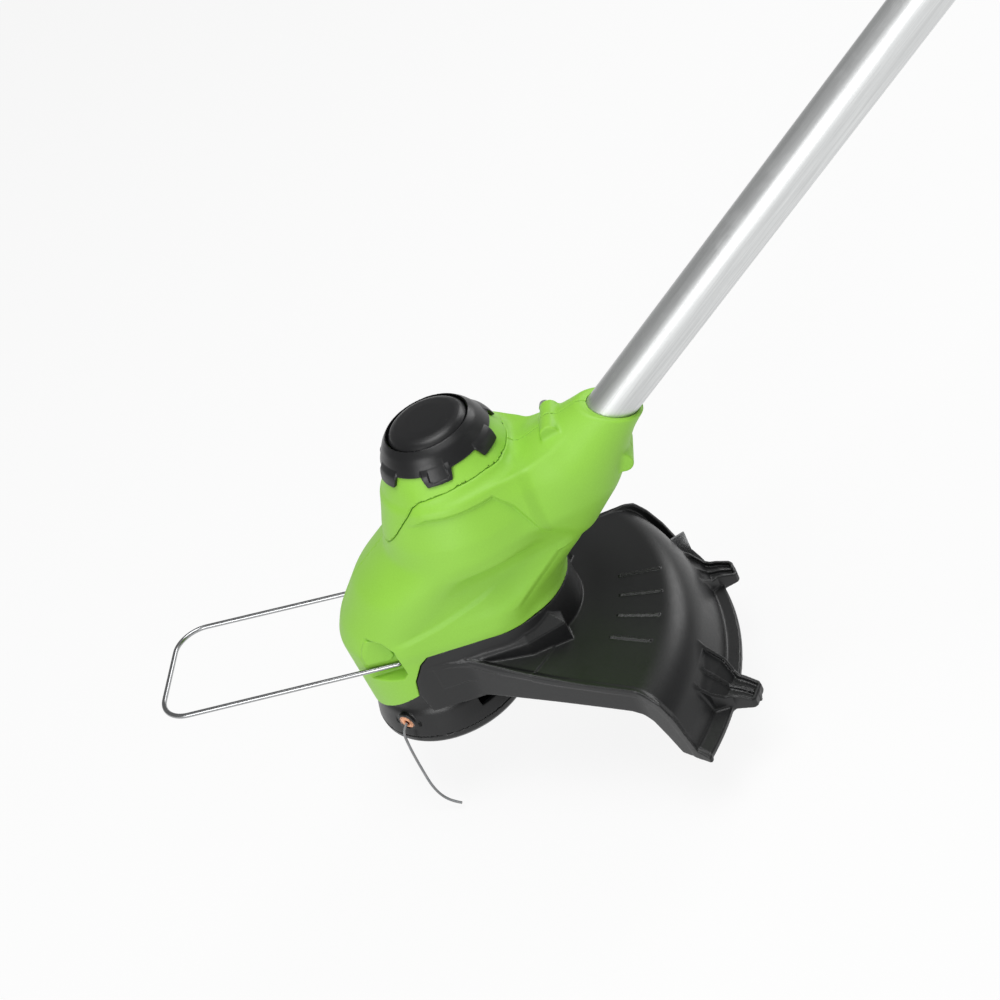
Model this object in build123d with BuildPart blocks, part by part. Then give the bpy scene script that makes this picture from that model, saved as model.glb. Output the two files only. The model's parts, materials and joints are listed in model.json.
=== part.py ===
"""Battery string trimmer: cutting head, telescoping shaft, loop handle, rear handle and battery.

The frame's origin is on the shaft's axis at the mouth of the head's collar. +Z is parallel to the
spool's axis, the shaft climbs towards +X in the XZ plane, and the trimmer is symmetric about Y.
"""

from build123d import *
from math import cos, pi, radians, sin, tan
import os

os.makedirs("parts", exist_ok=True)

# ---------------------------------------------------------------- driving dimensions, mm
SHAFT_ANGLE = 38.2      # slope of the shaft above the cutting plane
SPOOL_X = -157.0        # spool axis, from the collar mouth
SPOOL_Z = -158.4        # lower rim of the spool drum
MOTOR_X = 58.0          # motor axis behind the spool axis
IDLER_X = 34.0          # idler gear between them
WALL = 2.5              # moulded shells
RUN = 0.05              # radial clearance of a running fit
GAP = 0.4               # air between parts that move past each other

TUBE_R = 12.7           # lower tube
TUBE_BORE = 11.3
UPPER_R = 15.2          # upper tube, the lower one slides in it
UPPER_BORE = 13.1
TUBE_START = -52.0      # positions along the shaft, from the collar mouth
TUBE_END = 760.0
LOCK_S = 470.0
UPPER_START = 490.0
UPPER_END = 1010.0
LOOP_S = 790.0
GRIP_S = 960.0

GEAR_MODULE = 2.0
GEAR_TEETH = 20
IDLER_TEETH = 14
PINION_TEETH = 10
GEAR_Z = 63.5
GEAR_THICK = 7.0
SPINDLE_R = 4.0
BEARING_R = 11.0
ROTOR_R = 2.5
CAN_R = 24.0

BELL_R = 46.8           # lower bell of the housing, about the spool axis
HIP_X = 50.0            # centre of the housing's rear rounding
HIP_R = 44.5
SEAM_Z = 61.5           # green housing above, black guard below
DRUM_R = 49.5
DRUM_NECK_R = 42.3
EYELET_ANGLE = -120.0
EYELET_Z = 13.0
WIRE_R = 1.5
PIVOT_X = -9.3          # wire guard's pivot
PIVOT_Z = 54.1
ARM_Y = 36.9
GUARD_WALL = 2.6
KNEE = (124.0, 83.0)    # where the guard's side edge turns down
LINE_R = 0.825


# ---------------------------------------------------------------- planes and axes
SHAFT_DIR = (cos(radians(SHAFT_ANGLE)), 0, sin(radians(SHAFT_ANGLE)))
SHAFT_UP = (-SHAFT_DIR[2], 0, SHAFT_DIR[0])
SIDE = Plane(origin=(SPOOL_X, 0, SPOOL_Z), x_dir=(1, 0, 0), z_dir=(0, -1, 0))
SHAFT_SIDE = Plane(origin=(0, 0, 0), x_dir=SHAFT_DIR, z_dir=(0, -1, 0))
SPOOL_AXIS = Axis((SPOOL_X, 0, SPOOL_Z), (0, 0, 1))
MOTOR_AXIS = Axis((SPOOL_X + MOTOR_X, 0, SPOOL_Z), (0, 0, 1))
SHAFT_AXIS = Axis((0, 0, 0), SHAFT_DIR)


def level(z, x=0.0, y=0.0):
    """Horizontal plane z above the drum's rim, its origin x behind the spool axis."""
    return Plane((SPOOL_X + x, y, SPOOL_Z + z))


def radial(angle):
    """Vertical plane through the spool axis: local x points outwards, local y up."""
    a = radians(angle)
    return Plane(origin=(SPOOL_X, 0, SPOOL_Z), x_dir=(cos(a), sin(a), 0), z_dir=(sin(a), -cos(a), 0))


def outward(angle, radius, z):
    """Plane facing outwards at a point on the drum's wall."""
    a = radians(angle)
    x, y = radius * cos(a), radius * sin(a)
    return Plane(origin=(SPOOL_X + x, y, SPOOL_Z + z), x_dir=(-sin(a), cos(a), 0), z_dir=(cos(a), sin(a), 0))


def across(s, t, y):
    """Plane facing -Y at s along the shaft and t above its axis."""
    x = s * SHAFT_DIR[0] + t * SHAFT_UP[0]
    z = s * SHAFT_DIR[2] + t * SHAFT_UP[2]
    return Plane(origin=(x, y, z), x_dir=SHAFT_DIR, z_dir=(0, -1, 0))


def along(s, t=0.0):
    """Plane square to the shaft, facing up it: local x is the shaft's upper side."""
    x = s * SHAFT_DIR[0] + t * SHAFT_UP[0]
    z = s * SHAFT_DIR[2] + t * SHAFT_UP[2]
    return Plane(origin=(x, 0, z), x_dir=SHAFT_UP, z_dir=SHAFT_DIR)


# ---------------------------------------------------------------- repeated shapes
def rod(plane, radius, length, bore=0.0):
    """Straight round bar or tube standing on a plane."""
    with BuildPart() as piece:
        with BuildSketch(plane):
            Circle(radius)
            if bore:
                Circle(bore, mode=Mode.SUBTRACT)
        extrude(amount=length)
    return piece.part


def turned(plane, outline, axis):
    """Body of revolution from a closed outline on a plane that holds the axis."""
    with BuildPart() as piece:
        with BuildSketch(plane):
            with BuildLine():
                Polyline(*outline, close=True)
            make_face()
        revolve(axis=axis)
    return piece.part


def slab(plane, outline, half_width):
    """Closed outline extruded the same distance to both sides of its plane."""
    with BuildPart() as piece:
        with BuildSketch(plane):
            with BuildLine():
                Polyline(*outline, close=True)
            make_face()
        extrude(amount=half_width, both=True)
    return piece.part


def hull_prism(z, height, front, rear):
    """Upright prism round two circles, each given as centre x and radius."""
    with BuildPart() as piece:
        with BuildSketch(level(z)):
            for x, radius in (front, rear):
                with Locations((x, 0)):
                    Circle(radius)
            make_hull()
        extrude(amount=height)
    return piece.part


def screw(plane, radius, length, head_radius, head_height):
    """Pan-head screw with a hexagonal socket, its shank going back from the plane."""
    with BuildPart() as piece:
        with BuildSketch(plane):
            Circle(head_radius)
        extrude(amount=head_height)
        with BuildSketch(plane):
            Circle(radius)
        extrude(amount=-length)
        with BuildSketch(plane.offset(head_height * 0.4)):
            RegularPolygon(head_radius * 0.5, 6)
        extrude(amount=head_height, mode=Mode.SUBTRACT)
    return piece.part


def gear(z, x, teeth, height, bore, phase):
    """Spur gear with straight-flanked teeth, thinned for backlash."""
    pitch_r = GEAR_MODULE * teeth / 2
    root_r = pitch_r - 1.2 * GEAR_MODULE
    with BuildPart() as piece:
        with BuildSketch(level(z, x)):
            Circle(root_r)
            with PolarLocations(0, teeth, start_angle=phase):
                Polygon((root_r - 0.8, -1.6), (pitch_r, -1.05), (pitch_r + 1.6, -0.5),
                        (pitch_r + 1.6, 0.5), (pitch_r, 1.05), (root_r - 0.8, 1.6), align=None)
            Circle(bore, mode=Mode.SUBTRACT)
        extrude(amount=height)
    return piece.part


def head_volume(inset):
    """Housing's outer volume, or the space inside it when inset by the wall."""
    sections = (
        (14.0, 0.0, BELL_R, HIP_X, HIP_R),
        (66.0, 0.0, BELL_R, HIP_X, HIP_R),
        (76.0, 4.0, 45.5, 57.0, 43.5),
        (98.0, 24.0, 47.0, 100.0, 26.0),
        (118.0, 54.0, 49.0, 118.0, 25.0),
        (141.0, MOTOR_X, 44.0, 112.0, 24.0),
        (150.0, MOTOR_X, 41.0, 105.0, 22.0),
    )
    with BuildPart() as body:
        for z, front_x, front_r, rear_x, rear_r in sections:
            with BuildSketch(level(z)):
                for x, radius in ((front_x, front_r), (rear_x, rear_r)):
                    with Locations((x, 0)):
                        Circle(radius - inset)
                make_hull()
        loft(ruled=True)
        tower = ((0, 118), (49.0, 118), (47.8, 130), (43.6, 141), (40.2, 150), (35.6, 160), (33.0, 165),
                 (31.3, 169.5), (0, 169.5))
        tower = [(MOTOR_X + max(0, r - inset), z - (inset if z > 169 else 0)) for r, z in tower]
        with BuildSketch(SIDE):
            with BuildLine():
                Polyline(*tower, close=True)
            make_face()
        revolve(axis=MOTOR_AXIS)
        neck = ((-66, 0), (-66, 29.0), (-40, 27.5), (-30, 25.5), (-13, 20.5), (0, 17.0), (9, 15.6), (9, 0))
        neck = [(s, max(0, r - inset)) for s, r in neck]
        with BuildSketch(SHAFT_SIDE):
            with BuildLine():
                Polyline(*neck, close=True)
            make_face()
        revolve(axis=SHAFT_AXIS)
    return body.part


def write(piece, label):
    """Names a finished piece and writes it as its own file."""
    piece.part.label = label
    export_step(piece.part, f"parts/{label}.step")


# ---------------------------------------------------------------- cutter shafts and gears
with BuildPart() as spool_shaft:
    add(rod(level(22), SPINDLE_R, 62))
write(spool_shaft, "spool_shaft")

with BuildPart() as spool_gear:
    add(gear(GEAR_Z, 0, GEAR_TEETH, GEAR_THICK, SPINDLE_R, 0))
    with BuildSketch(level(GEAR_Z)):
        with PolarLocations(11, 6):
            Circle(3)
    extrude(amount=GEAR_THICK, mode=Mode.SUBTRACT)
write(spool_gear, "spool_gear")

with BuildPart() as idler_gear:
    add(gear(GEAR_Z, IDLER_X, IDLER_TEETH, GEAR_THICK, 3 + RUN, 180 / IDLER_TEETH))
write(idler_gear, "idler_gear")

with BuildPart() as idler_pin:
    add(rod(level(58, IDLER_X), 3, 17.5))
write(idler_pin, "idler_pin")

with BuildPart() as drive_pinion:
    add(gear(GEAR_Z - 0.5, MOTOR_X, PINION_TEETH, GEAR_THICK + 1, ROTOR_R, 0))
write(drive_pinion, "drive_pinion")

with BuildPart() as motor_shaft:
    add(rod(level(61.9, MOTOR_X), ROTOR_R, 94))
write(motor_shaft, "motor_shaft")

with BuildPart() as spool_bearings:
    for z in (44, 78):
        add(rod(level(z), BEARING_R, 7, SPINDLE_R + RUN))
write(spool_bearings, "spool_bearings")

with BuildPart() as guard_screws:
    for angle in (70, 180, -70):
        a = radians(angle)
        spot = level(52.8, 21.5 * cos(a), 21.5 * sin(a))
        add(screw(Plane(origin=spot.origin, x_dir=(1, 0, 0), z_dir=(0, 0, -1)), 1.8, 7.2, 3.4, 2.2))
write(guard_screws, "guard_screws")

with BuildPart() as gearbox_plate:
    add(hull_prism(56, 4, (0, 31.5), (HIP_X, HIP_R - WALL - 0.4)))
    add(rod(level(42), BEARING_R + 3, 14))
    add(rod(level(40), SPINDLE_R + 2, 24), mode=Mode.SUBTRACT)
    add(rod(level(44), BEARING_R, 12), mode=Mode.SUBTRACT)
    add(rod(level(51), BEARING_R, 9, 7))
    add(idler_pin.part, mode=Mode.SUBTRACT)
    add(guard_screws.part, mode=Mode.SUBTRACT)
write(gearbox_plate, "gearbox_plate")

with BuildPart() as gear_cover:
    add(hull_prism(73.5, 3, (0, 28), (MOTOR_X, 30)))
    add(rod(level(76.5), BEARING_R + 3, 8.5))
    add(rod(level(73), SPINDLE_R + 2, 14), mode=Mode.SUBTRACT)
    add(rod(level(78), BEARING_R, 7), mode=Mode.SUBTRACT)
    add(rod(level(73, MOTOR_X), 8, 4), mode=Mode.SUBTRACT)
    add(idler_pin.part, mode=Mode.SUBTRACT)
write(gear_cover, "gear_cover")

# ---------------------------------------------------------------- motor
with BuildPart() as motor_can:
    add(rod(level(76.5, MOTOR_X), CAN_R, 59.5))
    add(rod(level(78.5, MOTOR_X), CAN_R - 1.6, 60), mode=Mode.SUBTRACT)
    add(rod(level(76, MOTOR_X), 6, 4), mode=Mode.SUBTRACT)
    with BuildSketch(level(74, MOTOR_X)):
        with PolarLocations(14, 4, start_angle=45):
            SlotOverall(12, 4)
    extrude(amount=6, mode=Mode.SUBTRACT)
write(motor_can, "motor_can")

with BuildPart() as motor_magnets:
    add(rod(level(88, MOTOR_X), CAN_R - 1.6, 38, 18.8))
    with BuildSketch(level(87, MOTOR_X)):
        Rectangle(60, 9)
    extrude(amount=40, mode=Mode.SUBTRACT)
write(motor_magnets, "motor_magnets")

with BuildPart() as motor_bushes:
    add(rod(level(76.5, MOTOR_X), 6, 4, ROTOR_R + RUN))
    add(rod(level(135.2, MOTOR_X), 6, 4, ROTOR_R + RUN))
write(motor_bushes, "motor_bushes")

with BuildPart() as motor_end_bell:
    add(rod(level(136, MOTOR_X), CAN_R, 3, 6))
    add(rod(level(133, MOTOR_X), CAN_R - 1.6, 3, 20))
write(motor_end_bell, "motor_end_bell")

with BuildPart() as rotor:
    add(rod(level(90, MOTOR_X), 18.2, 34, ROTOR_R))
    with BuildSketch(level(89, MOTOR_X)):
        with PolarLocations(14.6, 12):
            SlotOverall(6.4, 2.2)
    extrude(amount=36, mode=Mode.SUBTRACT)
    add(rod(level(124, MOTOR_X), 8, 8, ROTOR_R))
write(rotor, "rotor")

with BuildPart() as cooling_fan:
    add(rod(level(142, MOTOR_X), 27, 1.6, ROTOR_R))
    add(rod(level(143.6, MOTOR_X), 6, 7, ROTOR_R))
    with BuildSketch(level(143.6, MOTOR_X)):
        with PolarLocations(16, 9):
            Rectangle(20.5, 1.4, rotation=22)
    extrude(amount=7)
write(cooling_fan, "cooling_fan")

# ---------------------------------------------------------------- green housing
outer = head_volume(0)
inner = head_volume(WALL)

# Region under the green housing's lower edge: the front keeps a bib that reaches the drum.
UNDER_SEAM = ((-70, 10), (-60, 14), (-38, 21), (-6, 35), (-3.5, 46), (4, 57), (10, SEAM_Z),
              (HIP_X + HIP_R + 20, SEAM_Z), (HIP_X + HIP_R + 20, -5), (-70, -5))
# Region of the motor's dome, above its parting line.
DOME = ((-30, 127), (8, 126), (20, 134), (42, 156), (50, 158.5), (84, 159.5), (96, 157), (104, 164), (104, 190),
        (-30, 190))
MOUTH_CUT = ((-18.7, 30), (19.3, -30), (60, -30), (60, 30))
# Flat-floored pocket in which the wire guard's arm swings.
POCKET = ((-60, 47), (-8, 49.5), (-4.5, 54), (-6.5, 60), (-12, 79), (-40, 100), (-60, 100))
POCKET_FLOOR = 34.6
HEAD_BOSSES = ((-33, 66.5), (26, 92), (89, 92), (102, 139))
COLLAR_BOSSES = ((-30, 24.5), (-26, -23.0))


def sideways(x, z, y):
    """Plane facing +Y at a point given from the spool axis and the drum's rim."""
    return Plane(origin=(SPOOL_X + x, y, SPOOL_Z + z), x_dir=(1, 0, 0), z_dir=(0, 1, 0))


def pocket_side(side, outline, start, depth):
    """Outline in the head's side view, extruded outwards from a distance start off the middle plane."""
    plane = Plane(origin=(SPOOL_X, side * (start + depth / 2), SPOOL_Z), x_dir=(1, 0, 0), z_dir=(0, -1, 0))
    return slab(plane, outline, depth / 2)


with BuildPart() as head_screws:
    for x, z in HEAD_BOSSES:
        add(screw(sideways(x, z, 17), 1.8, 24, 3.4, 2.4))
write(head_screws, "head_screws")

with BuildPart() as collar_screws:
    for s, t in COLLAR_BOSSES:
        spot = across(s, t, 13)
        add(screw(Plane(origin=spot.origin, x_dir=SHAFT_DIR, z_dir=(0, 1, 0)), 2.0, 22, 3.6, 2.6))
write(collar_screws, "collar_screws")

with BuildPart() as housing_inside:
    add(rod(along(TUBE_START - 3), TUBE_R + 3, 62))
    for x, z in HEAD_BOSSES:
        add(rod(sideways(x, z, -60), 5.0, 120))
    for side in (-1, 1):
        add(pocket_side(side, ((-40, 44), (-3.2, 44), (-3.2, 60), (-10, 84), (-40, 84)), POCKET_FLOOR - WALL, 20))
    add(outer, mode=Mode.INTERSECT)
    for s, t in COLLAR_BOSSES:
        add(rod(across(s, t, 13.0), 6.2, 26))


def housing_half(side):
    """One moulded half of the green housing; side is -1 on the left and 1 on the right."""
    with BuildPart() as half:
        add(outer)
        add(inner, mode=Mode.SUBTRACT)
        add(housing_inside.part)
        add(slab(SIDE, UNDER_SEAM, 70), mode=Mode.SUBTRACT)
        add(slab(SIDE, DOME, 70), mode=Mode.SUBTRACT)
        for y in (-1, 1):
            add(pocket_side(y, POCKET, POCKET_FLOOR, 30), mode=Mode.SUBTRACT)
        add(slab(SHAFT_SIDE, MOUTH_CUT, 60), mode=Mode.SUBTRACT)
        add(rod(along(TUBE_START - 6), TUBE_BORE - 1, 9), mode=Mode.SUBTRACT)
        add(rod(along(TUBE_START), TUBE_R, 80), mode=Mode.SUBTRACT)
        for x, z in HEAD_BOSSES:
            add(rod(sideways(x, z, 17), 3.7, 45), mode=Mode.SUBTRACT)
        add(head_screws.part, mode=Mode.SUBTRACT)
        add(collar_screws.part, mode=Mode.SUBTRACT)
        add(rod(sideways(PIVOT_X, PIVOT_Z, -60), WIRE_R + RUN, 120), mode=Mode.SUBTRACT)
        split(bisect_by=Plane(origin=(0, 0, 0), z_dir=(0, side, 0)), keep=Keep.TOP)
    return half


head_shell_left = housing_half(-1)
write(head_shell_left, "head_shell_left")
head_shell_right = housing_half(1)
write(head_shell_right, "head_shell_right")

with BuildPart() as motor_cover:
    add(outer)
    add(inner, mode=Mode.SUBTRACT)
    add(slab(SIDE, DOME, 70), mode=Mode.INTERSECT)
    add(rod(level(140, MOTOR_X), 27, 40), mode=Mode.SUBTRACT)
    add(slab(SHAFT_SIDE, ((-80, 24), (-80, 60), (-20, 60), (-20, 24)), 8), mode=Mode.SUBTRACT)
write(motor_cover, "motor_cover")

# ---------------------------------------------------------------- black cap on the dome
CAP_BASE = 169.5
with BuildPart() as cap_ring:
    add(turned(SIDE, [(MOTOR_X + r, z) for r, z in (
        (23.8, CAP_BASE), (32.3, CAP_BASE), (30.2, 174), (27.4, 178.6), (25, 181.3), (23.8, 181))],
        MOTOR_AXIS))
    tab = turned(SIDE, [(MOTOR_X + r, z) for r, z in (
        (33.5, 164.5), (31.6, CAP_BASE), (29.8, 173.5), (33.2, 171.5), (35.5, 164.5))], MOTOR_AXIS)
    with BuildPart(mode=Mode.PRIVATE) as tab_cutter:
        with BuildSketch(level(150, MOTOR_X)):
            with PolarLocations(34, 6, start_angle=-85):
                Rectangle(16, 17)
        extrude(amount=30)
    add(tab & tab_cutter.part)
write(cap_ring, "cap_ring")

with BuildPart() as cap_disc:
    add(turned(SIDE, [(MOTOR_X + r, z) for r, z in (
        (0, CAP_BASE + 0.5), (23.7, CAP_BASE + 0.5), (23.7, 173), (23.2, 173), (23.2, 181), (21.5, 183.6),
        (17, 185), (0, 185.5))], MOTOR_AXIS))
    add(rod(level(CAP_BASE, MOTOR_X), 20, 8), mode=Mode.SUBTRACT)
write(cap_disc, "cap_disc")

# ---------------------------------------------------------------- guard
RIM_Z = -14.0
GUARD_PROFILE = ((14.6, 55.5), (46, 54.5), (68, 44), (100, 36), (132, 30.5), (147, 28.5), (158, 23.5), (165, 13),
                 (170, 0), (173.5, RIM_Z + 3.5), (180, RIM_Z + 3), (180, RIM_Z), (170.5, RIM_Z), (167, -1),
                 (162, 12), (156, 21), (146, 25.8), (132, 27.8), (100, 33.3), (68, 41.2), (46, 51.8), (14.6, 52.8))
EDGE_OUT = (152.0, 106.0)


def edge_wall(start, end, top, bottom):
    """Upright wall along the guard's near edge; its heights are given at its two ends."""
    length = ((end[0] - start[0]) ** 2 + (end[1] - start[1]) ** 2) ** 0.5
    direction = ((end[0] - start[0]) / length, -(end[1] - start[1]) / length, 0)
    plane = Plane(origin=(SPOOL_X + start[0], -start[1], SPOOL_Z), x_dir=direction,
                  z_dir=(direction[1], -direction[0], 0))
    outline = [(0, bottom[0])] + [(f * length, z) for f, z in bottom[1:]]
    outline += [(f * length, z) for f, z in reversed(top)]
    with BuildPart() as wall:
        with BuildSketch(plane):
            with BuildLine():
                Polyline(*outline, close=True)
            make_face()
        extrude(amount=GUARD_WALL / 2, both=True)
    return wall.part


with BuildPart() as guard:
    add(turned(SIDE, GUARD_PROFILE, SPOOL_AXIS))
    with BuildPart(mode=Mode.PRIVATE) as plan:
        with BuildSketch(level(-40)):
            Circle(29)
            with BuildLine():
                Polyline((5, -BELL_R), (20, -BELL_R + 1), (30, -45.5), (KNEE[0], -KNEE[1]),
                         (EDGE_OUT[0], -EDGE_OUT[1]), (200, -EDGE_OUT[1]), (200, EDGE_OUT[1]),
                         (EDGE_OUT[0], EDGE_OUT[1]), (KNEE[0], KNEE[1]), (30, 45.5), (20, BELL_R - 1),
                         (5, BELL_R), close=True)
            make_face()
        extrude(amount=120)
    add(plan.part, mode=Mode.INTERSECT)
    # Wall under the green housing, down to the drum at the front and to the roof behind.
    with BuildPart(mode=Mode.PRIVATE) as skirt:
        add(hull_prism(30, SEAM_Z - 30.3, (0, BELL_R), (HIP_X, HIP_R)))
        add(hull_prism(24, 60, (0, BELL_R - WALL), (HIP_X, HIP_R - WALL)), mode=Mode.SUBTRACT)
        add(slab(SIDE, ((-2.9, 30), (-2.9, 46), (4.4, 56.6), (10.3, 61), (12, SEAM_Z + 1), (110, SEAM_Z + 1), (110, 34),
                        (60, 46), (46.2, 52), (44, 30)), 60), mode=Mode.INTERSECT)
    add(skirt.part)
    add(hull_prism(46, 9, (14, 45.8), (64, 40.5)))
    add(hull_prism(40, 30, (0, BELL_R - WALL), (HIP_X, HIP_R - WALL)), mode=Mode.SUBTRACT)
    add(hull_prism(55.5, 30, (0, BELL_R), (HIP_X, HIP_R)), mode=Mode.SUBTRACT)
    add(skirt.part)
    add(turned(SIDE, ((14.6, 55.5), (BELL_R - 1, 55.5), (BELL_R - 1, 52.8), (14.6, 52.8)), SPOOL_AXIS) & plan.part)
    near = edge_wall((30, 45.5), KNEE, ((0, 52.5), (0.3, 41.5), (0.65, 33), (1, 29)), (24.5, (1, 13)))
    turn = edge_wall(KNEE, EDGE_OUT, ((0, 29), (0.36, 22), (0.6, 12), (0.85, -4), (1, RIM_Z)),
                     (13, (0.25, 2), (0.55, RIM_Z)))
    add(near)
    add(turn)
    add(mirror(near, about=Plane.XZ))
    add(mirror(turn, about=Plane.XZ))
    for angle in (-17, 17):
        foot = slab(radial(angle), ((168, 4), (184, RIM_Z + 7), (191, RIM_Z + 3), (191, RIM_Z - 0.5),
                                    (172, RIM_Z - 0.5)), 9)
        scoop = slab(radial(angle), ((166, 8), (182, RIM_Z + 9), (189, RIM_Z + 5), (188, RIM_Z + 2),
                                     (170, RIM_Z + 2)), 7)
        rib = slab(radial(angle), ((167, 4), (184, RIM_Z + 6.6), (189, RIM_Z + 3.5), (189, RIM_Z), (171, RIM_Z)), 1)
        add(foot - scoop)
        add(rib)
    add(guard_screws.part, mode=Mode.SUBTRACT)
write(guard, "guard")

with BuildPart() as line_cutter:
    with BuildSketch(radial(24)):
        with Locations((158.5, -2)):
            Rectangle(9, 20)
    extrude(amount=1.4)
write(line_cutter, "line_cutter")

# ---------------------------------------------------------------- spool drum and feed
with BuildPart() as eyelet:
    add(rod(outward(EYELET_ANGLE, 42.5, EYELET_Z), 4.0, 5.3, 1.5))
    add(rod(outward(EYELET_ANGLE, 46.6, EYELET_Z), 5.0, 1.2, 1.5))
write(eyelet, "eyelet")

with BuildPart() as spool_housing:
    add(turned(SIDE, ((0, 38), (0, 41), (39.5, 41), (DRUM_NECK_R, 38.5), (DRUM_NECK_R, 20), (45.6, 17), (47.6, 9),
                      (DRUM_R, 3.4), (47, 3.4), (44.6, 9), (43, 15), (40, 19), (39.6, 38)), SPOOL_AXIS))
    add(rod(level(30), 8, 8))
    add(rod(level(41), 7, 0.8))
    add(rod(level(22), SPINDLE_R, 30), mode=Mode.SUBTRACT)
    add(rod(outward(EYELET_ANGLE, 40, EYELET_Z), 4.0, 12), mode=Mode.SUBTRACT)
    add(eyelet.part, mode=Mode.SUBTRACT)
    with BuildSketch(level(11)):
        with PolarLocations(45, 2, start_angle=-52):
            Rectangle(12, 14)
    extrude(amount=7, mode=Mode.SUBTRACT)
write(spool_housing, "spool_housing")

with BuildPart() as spool_cap:
    add(turned(SIDE, ((18, -2.6), (47, -2.6), (DRUM_R, 0), (DRUM_R, 3.4), (42.2, 3.4), (42.2, 6), (40.2, 6),
                      (40.2, 0.6), (18, 0.6)), SPOOL_AXIS))
    with BuildSketch(level(6)):
        with PolarLocations(41.2, 2, start_angle=-52):
            Rectangle(2, 10)
    extrude(amount=9)
    with BuildSketch(level(12)):
        with PolarLocations(42.5, 2, start_angle=-52):
            Rectangle(3, 10)
    extrude(amount=3)
write(spool_cap, "spool_cap")

with BuildPart() as line_spool:
    add(turned(SIDE, ((11.5, 2.5), (38.6, 2.5), (38.6, 5), (18, 5), (18, 27), (38.6, 27), (38.6, 29.5),
                      (11.5, 29.5)), SPOOL_AXIS))
write(line_spool, "line_spool")

with BuildPart() as spool_line:
    for turn in range(5):
        add(rod(level(5.2 + 4.3 * turn), 33.5 - 0.8 * (turn % 2), 4.2, 18))
write(spool_line, "spool_line")

with BuildPart() as feed_knob:
    add(turned(SIDE, ((0, -12), (13.5, -12), (17, -9.5), (17.4, -3), (15, -1.4), (11.2, 2.1), (11.2, 20), (8.6, 20),
                      (8.6, -4), (0, -4)), SPOOL_AXIS))
    with BuildSketch(level(-13)):
        with PolarLocations(18.4, 8):
            Circle(2.6)
    extrude(amount=10.5, mode=Mode.SUBTRACT)
write(feed_knob, "feed_knob")

with BuildPart() as spool_spring:
    add(rod(level(20.3), 10.8, 17.7, 9.2))
write(spool_spring, "spool_spring")

# Cutting line: out of the eyelet, then hanging free. Its points are out from the spool axis,
# sideways, and up from the drum's rim.
LINE_ROUTE = ((47.8, 0.0, 13.0), (51.2, 0.2, 12.2), (53.6, 0.3, 9.6), (54.4, 0.2, 4.0), (54.9, -0.2, -8.0),
              (54.6, -1.0, -22.0), (55.0, -0.4, -34.0), (54.3, 1.6, -43.5), (52.8, 6.4, -49.6), (51.6, 12.2, -51.0))


def line_point(out, aside, z):
    """A point of the cutting line's route in the frame."""
    a = radians(EYELET_ANGLE)
    return Vector(SPOOL_X + out * cos(a) - aside * sin(a), out * sin(a) + aside * cos(a), SPOOL_Z + z)


def route_radii(points):
    """Largest arcs the runs leave room for, one for each inner point."""
    radii = []
    for before, corner, after in zip(points, points[1:], points[2:]):
        run_in = corner - before
        run_out = after - corner
        turn = radians(run_in.get_angle(run_out))
        radii.append(0.45 * min(run_in.length, run_out.length) / tan(turn / 2))
    return radii


def cord(points, radius):
    """Round cord of straight runs joined by tangent arcs."""
    with BuildPart() as piece:
        with BuildLine() as path:
            FilletPolyline(*points, radius=route_radii(points))
        with BuildSketch(Plane(origin=points[0], z_dir=points[1] - points[0])):
            Circle(radius)
        sweep(path=path.wires()[0])
    return piece, path.wires()[0].length


line_points = [line_point(*point) for point in LINE_ROUTE]
cutting_line, line_length = cord(line_points, LINE_R)
write(cutting_line, "cutting_line")
print("cutting line radii", [round(r, 1) for r in route_radii(line_points)])
print("cutting line length", round(line_length, 1), "volume", round(cutting_line.part.volume, 1),
      "section times length", round(pi * LINE_R ** 2 * line_length, 1))

# ---------------------------------------------------------------- wire guard
ARM_END_X = -160.9
ARM_END_Y = 38.6
ARM_END_Z = 62.0


def wire_point(x, y, z):
    """A point given from the spool axis and the drum's rim."""
    return Vector(SPOOL_X + x, y, SPOOL_Z + z)


with BuildPart() as wire_guard:
    with BuildLine() as wire_path:
        FilletPolyline(
            wire_point(PIVOT_X, -30, PIVOT_Z), wire_point(PIVOT_X, -ARM_Y, PIVOT_Z),
            wire_point(ARM_END_X, -ARM_END_Y, ARM_END_Z), wire_point(ARM_END_X, ARM_END_Y, ARM_END_Z),
            wire_point(PIVOT_X, ARM_Y, PIVOT_Z), wire_point(PIVOT_X, 30, PIVOT_Z), radius=[2.2, 18, 18, 2.2])
    with BuildSketch(Plane(origin=wire_point(PIVOT_X, -30, PIVOT_Z), z_dir=(0, -1, 0))):
        Circle(WIRE_R)
    sweep(path=wire_path.wires()[0])
write(wire_guard, "wire_guard")

# ---------------------------------------------------------------- shaft and its lock
with BuildPart() as lower_tube:
    add(rod(along(TUBE_START), TUBE_R, TUBE_END - TUBE_START, TUBE_BORE))
write(lower_tube, "lower_tube")

with BuildPart() as upper_tube:
    add(rod(along(UPPER_START), UPPER_R, UPPER_END - UPPER_START, UPPER_BORE))
write(upper_tube, "upper_tube")

HINGE_T = 27.0
with BuildPart() as lock_pin:
    add(rod(across(LOCK_S - 22, HINGE_T, 13), 2.5, 26))
write(lock_pin, "lock_pin")

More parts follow.
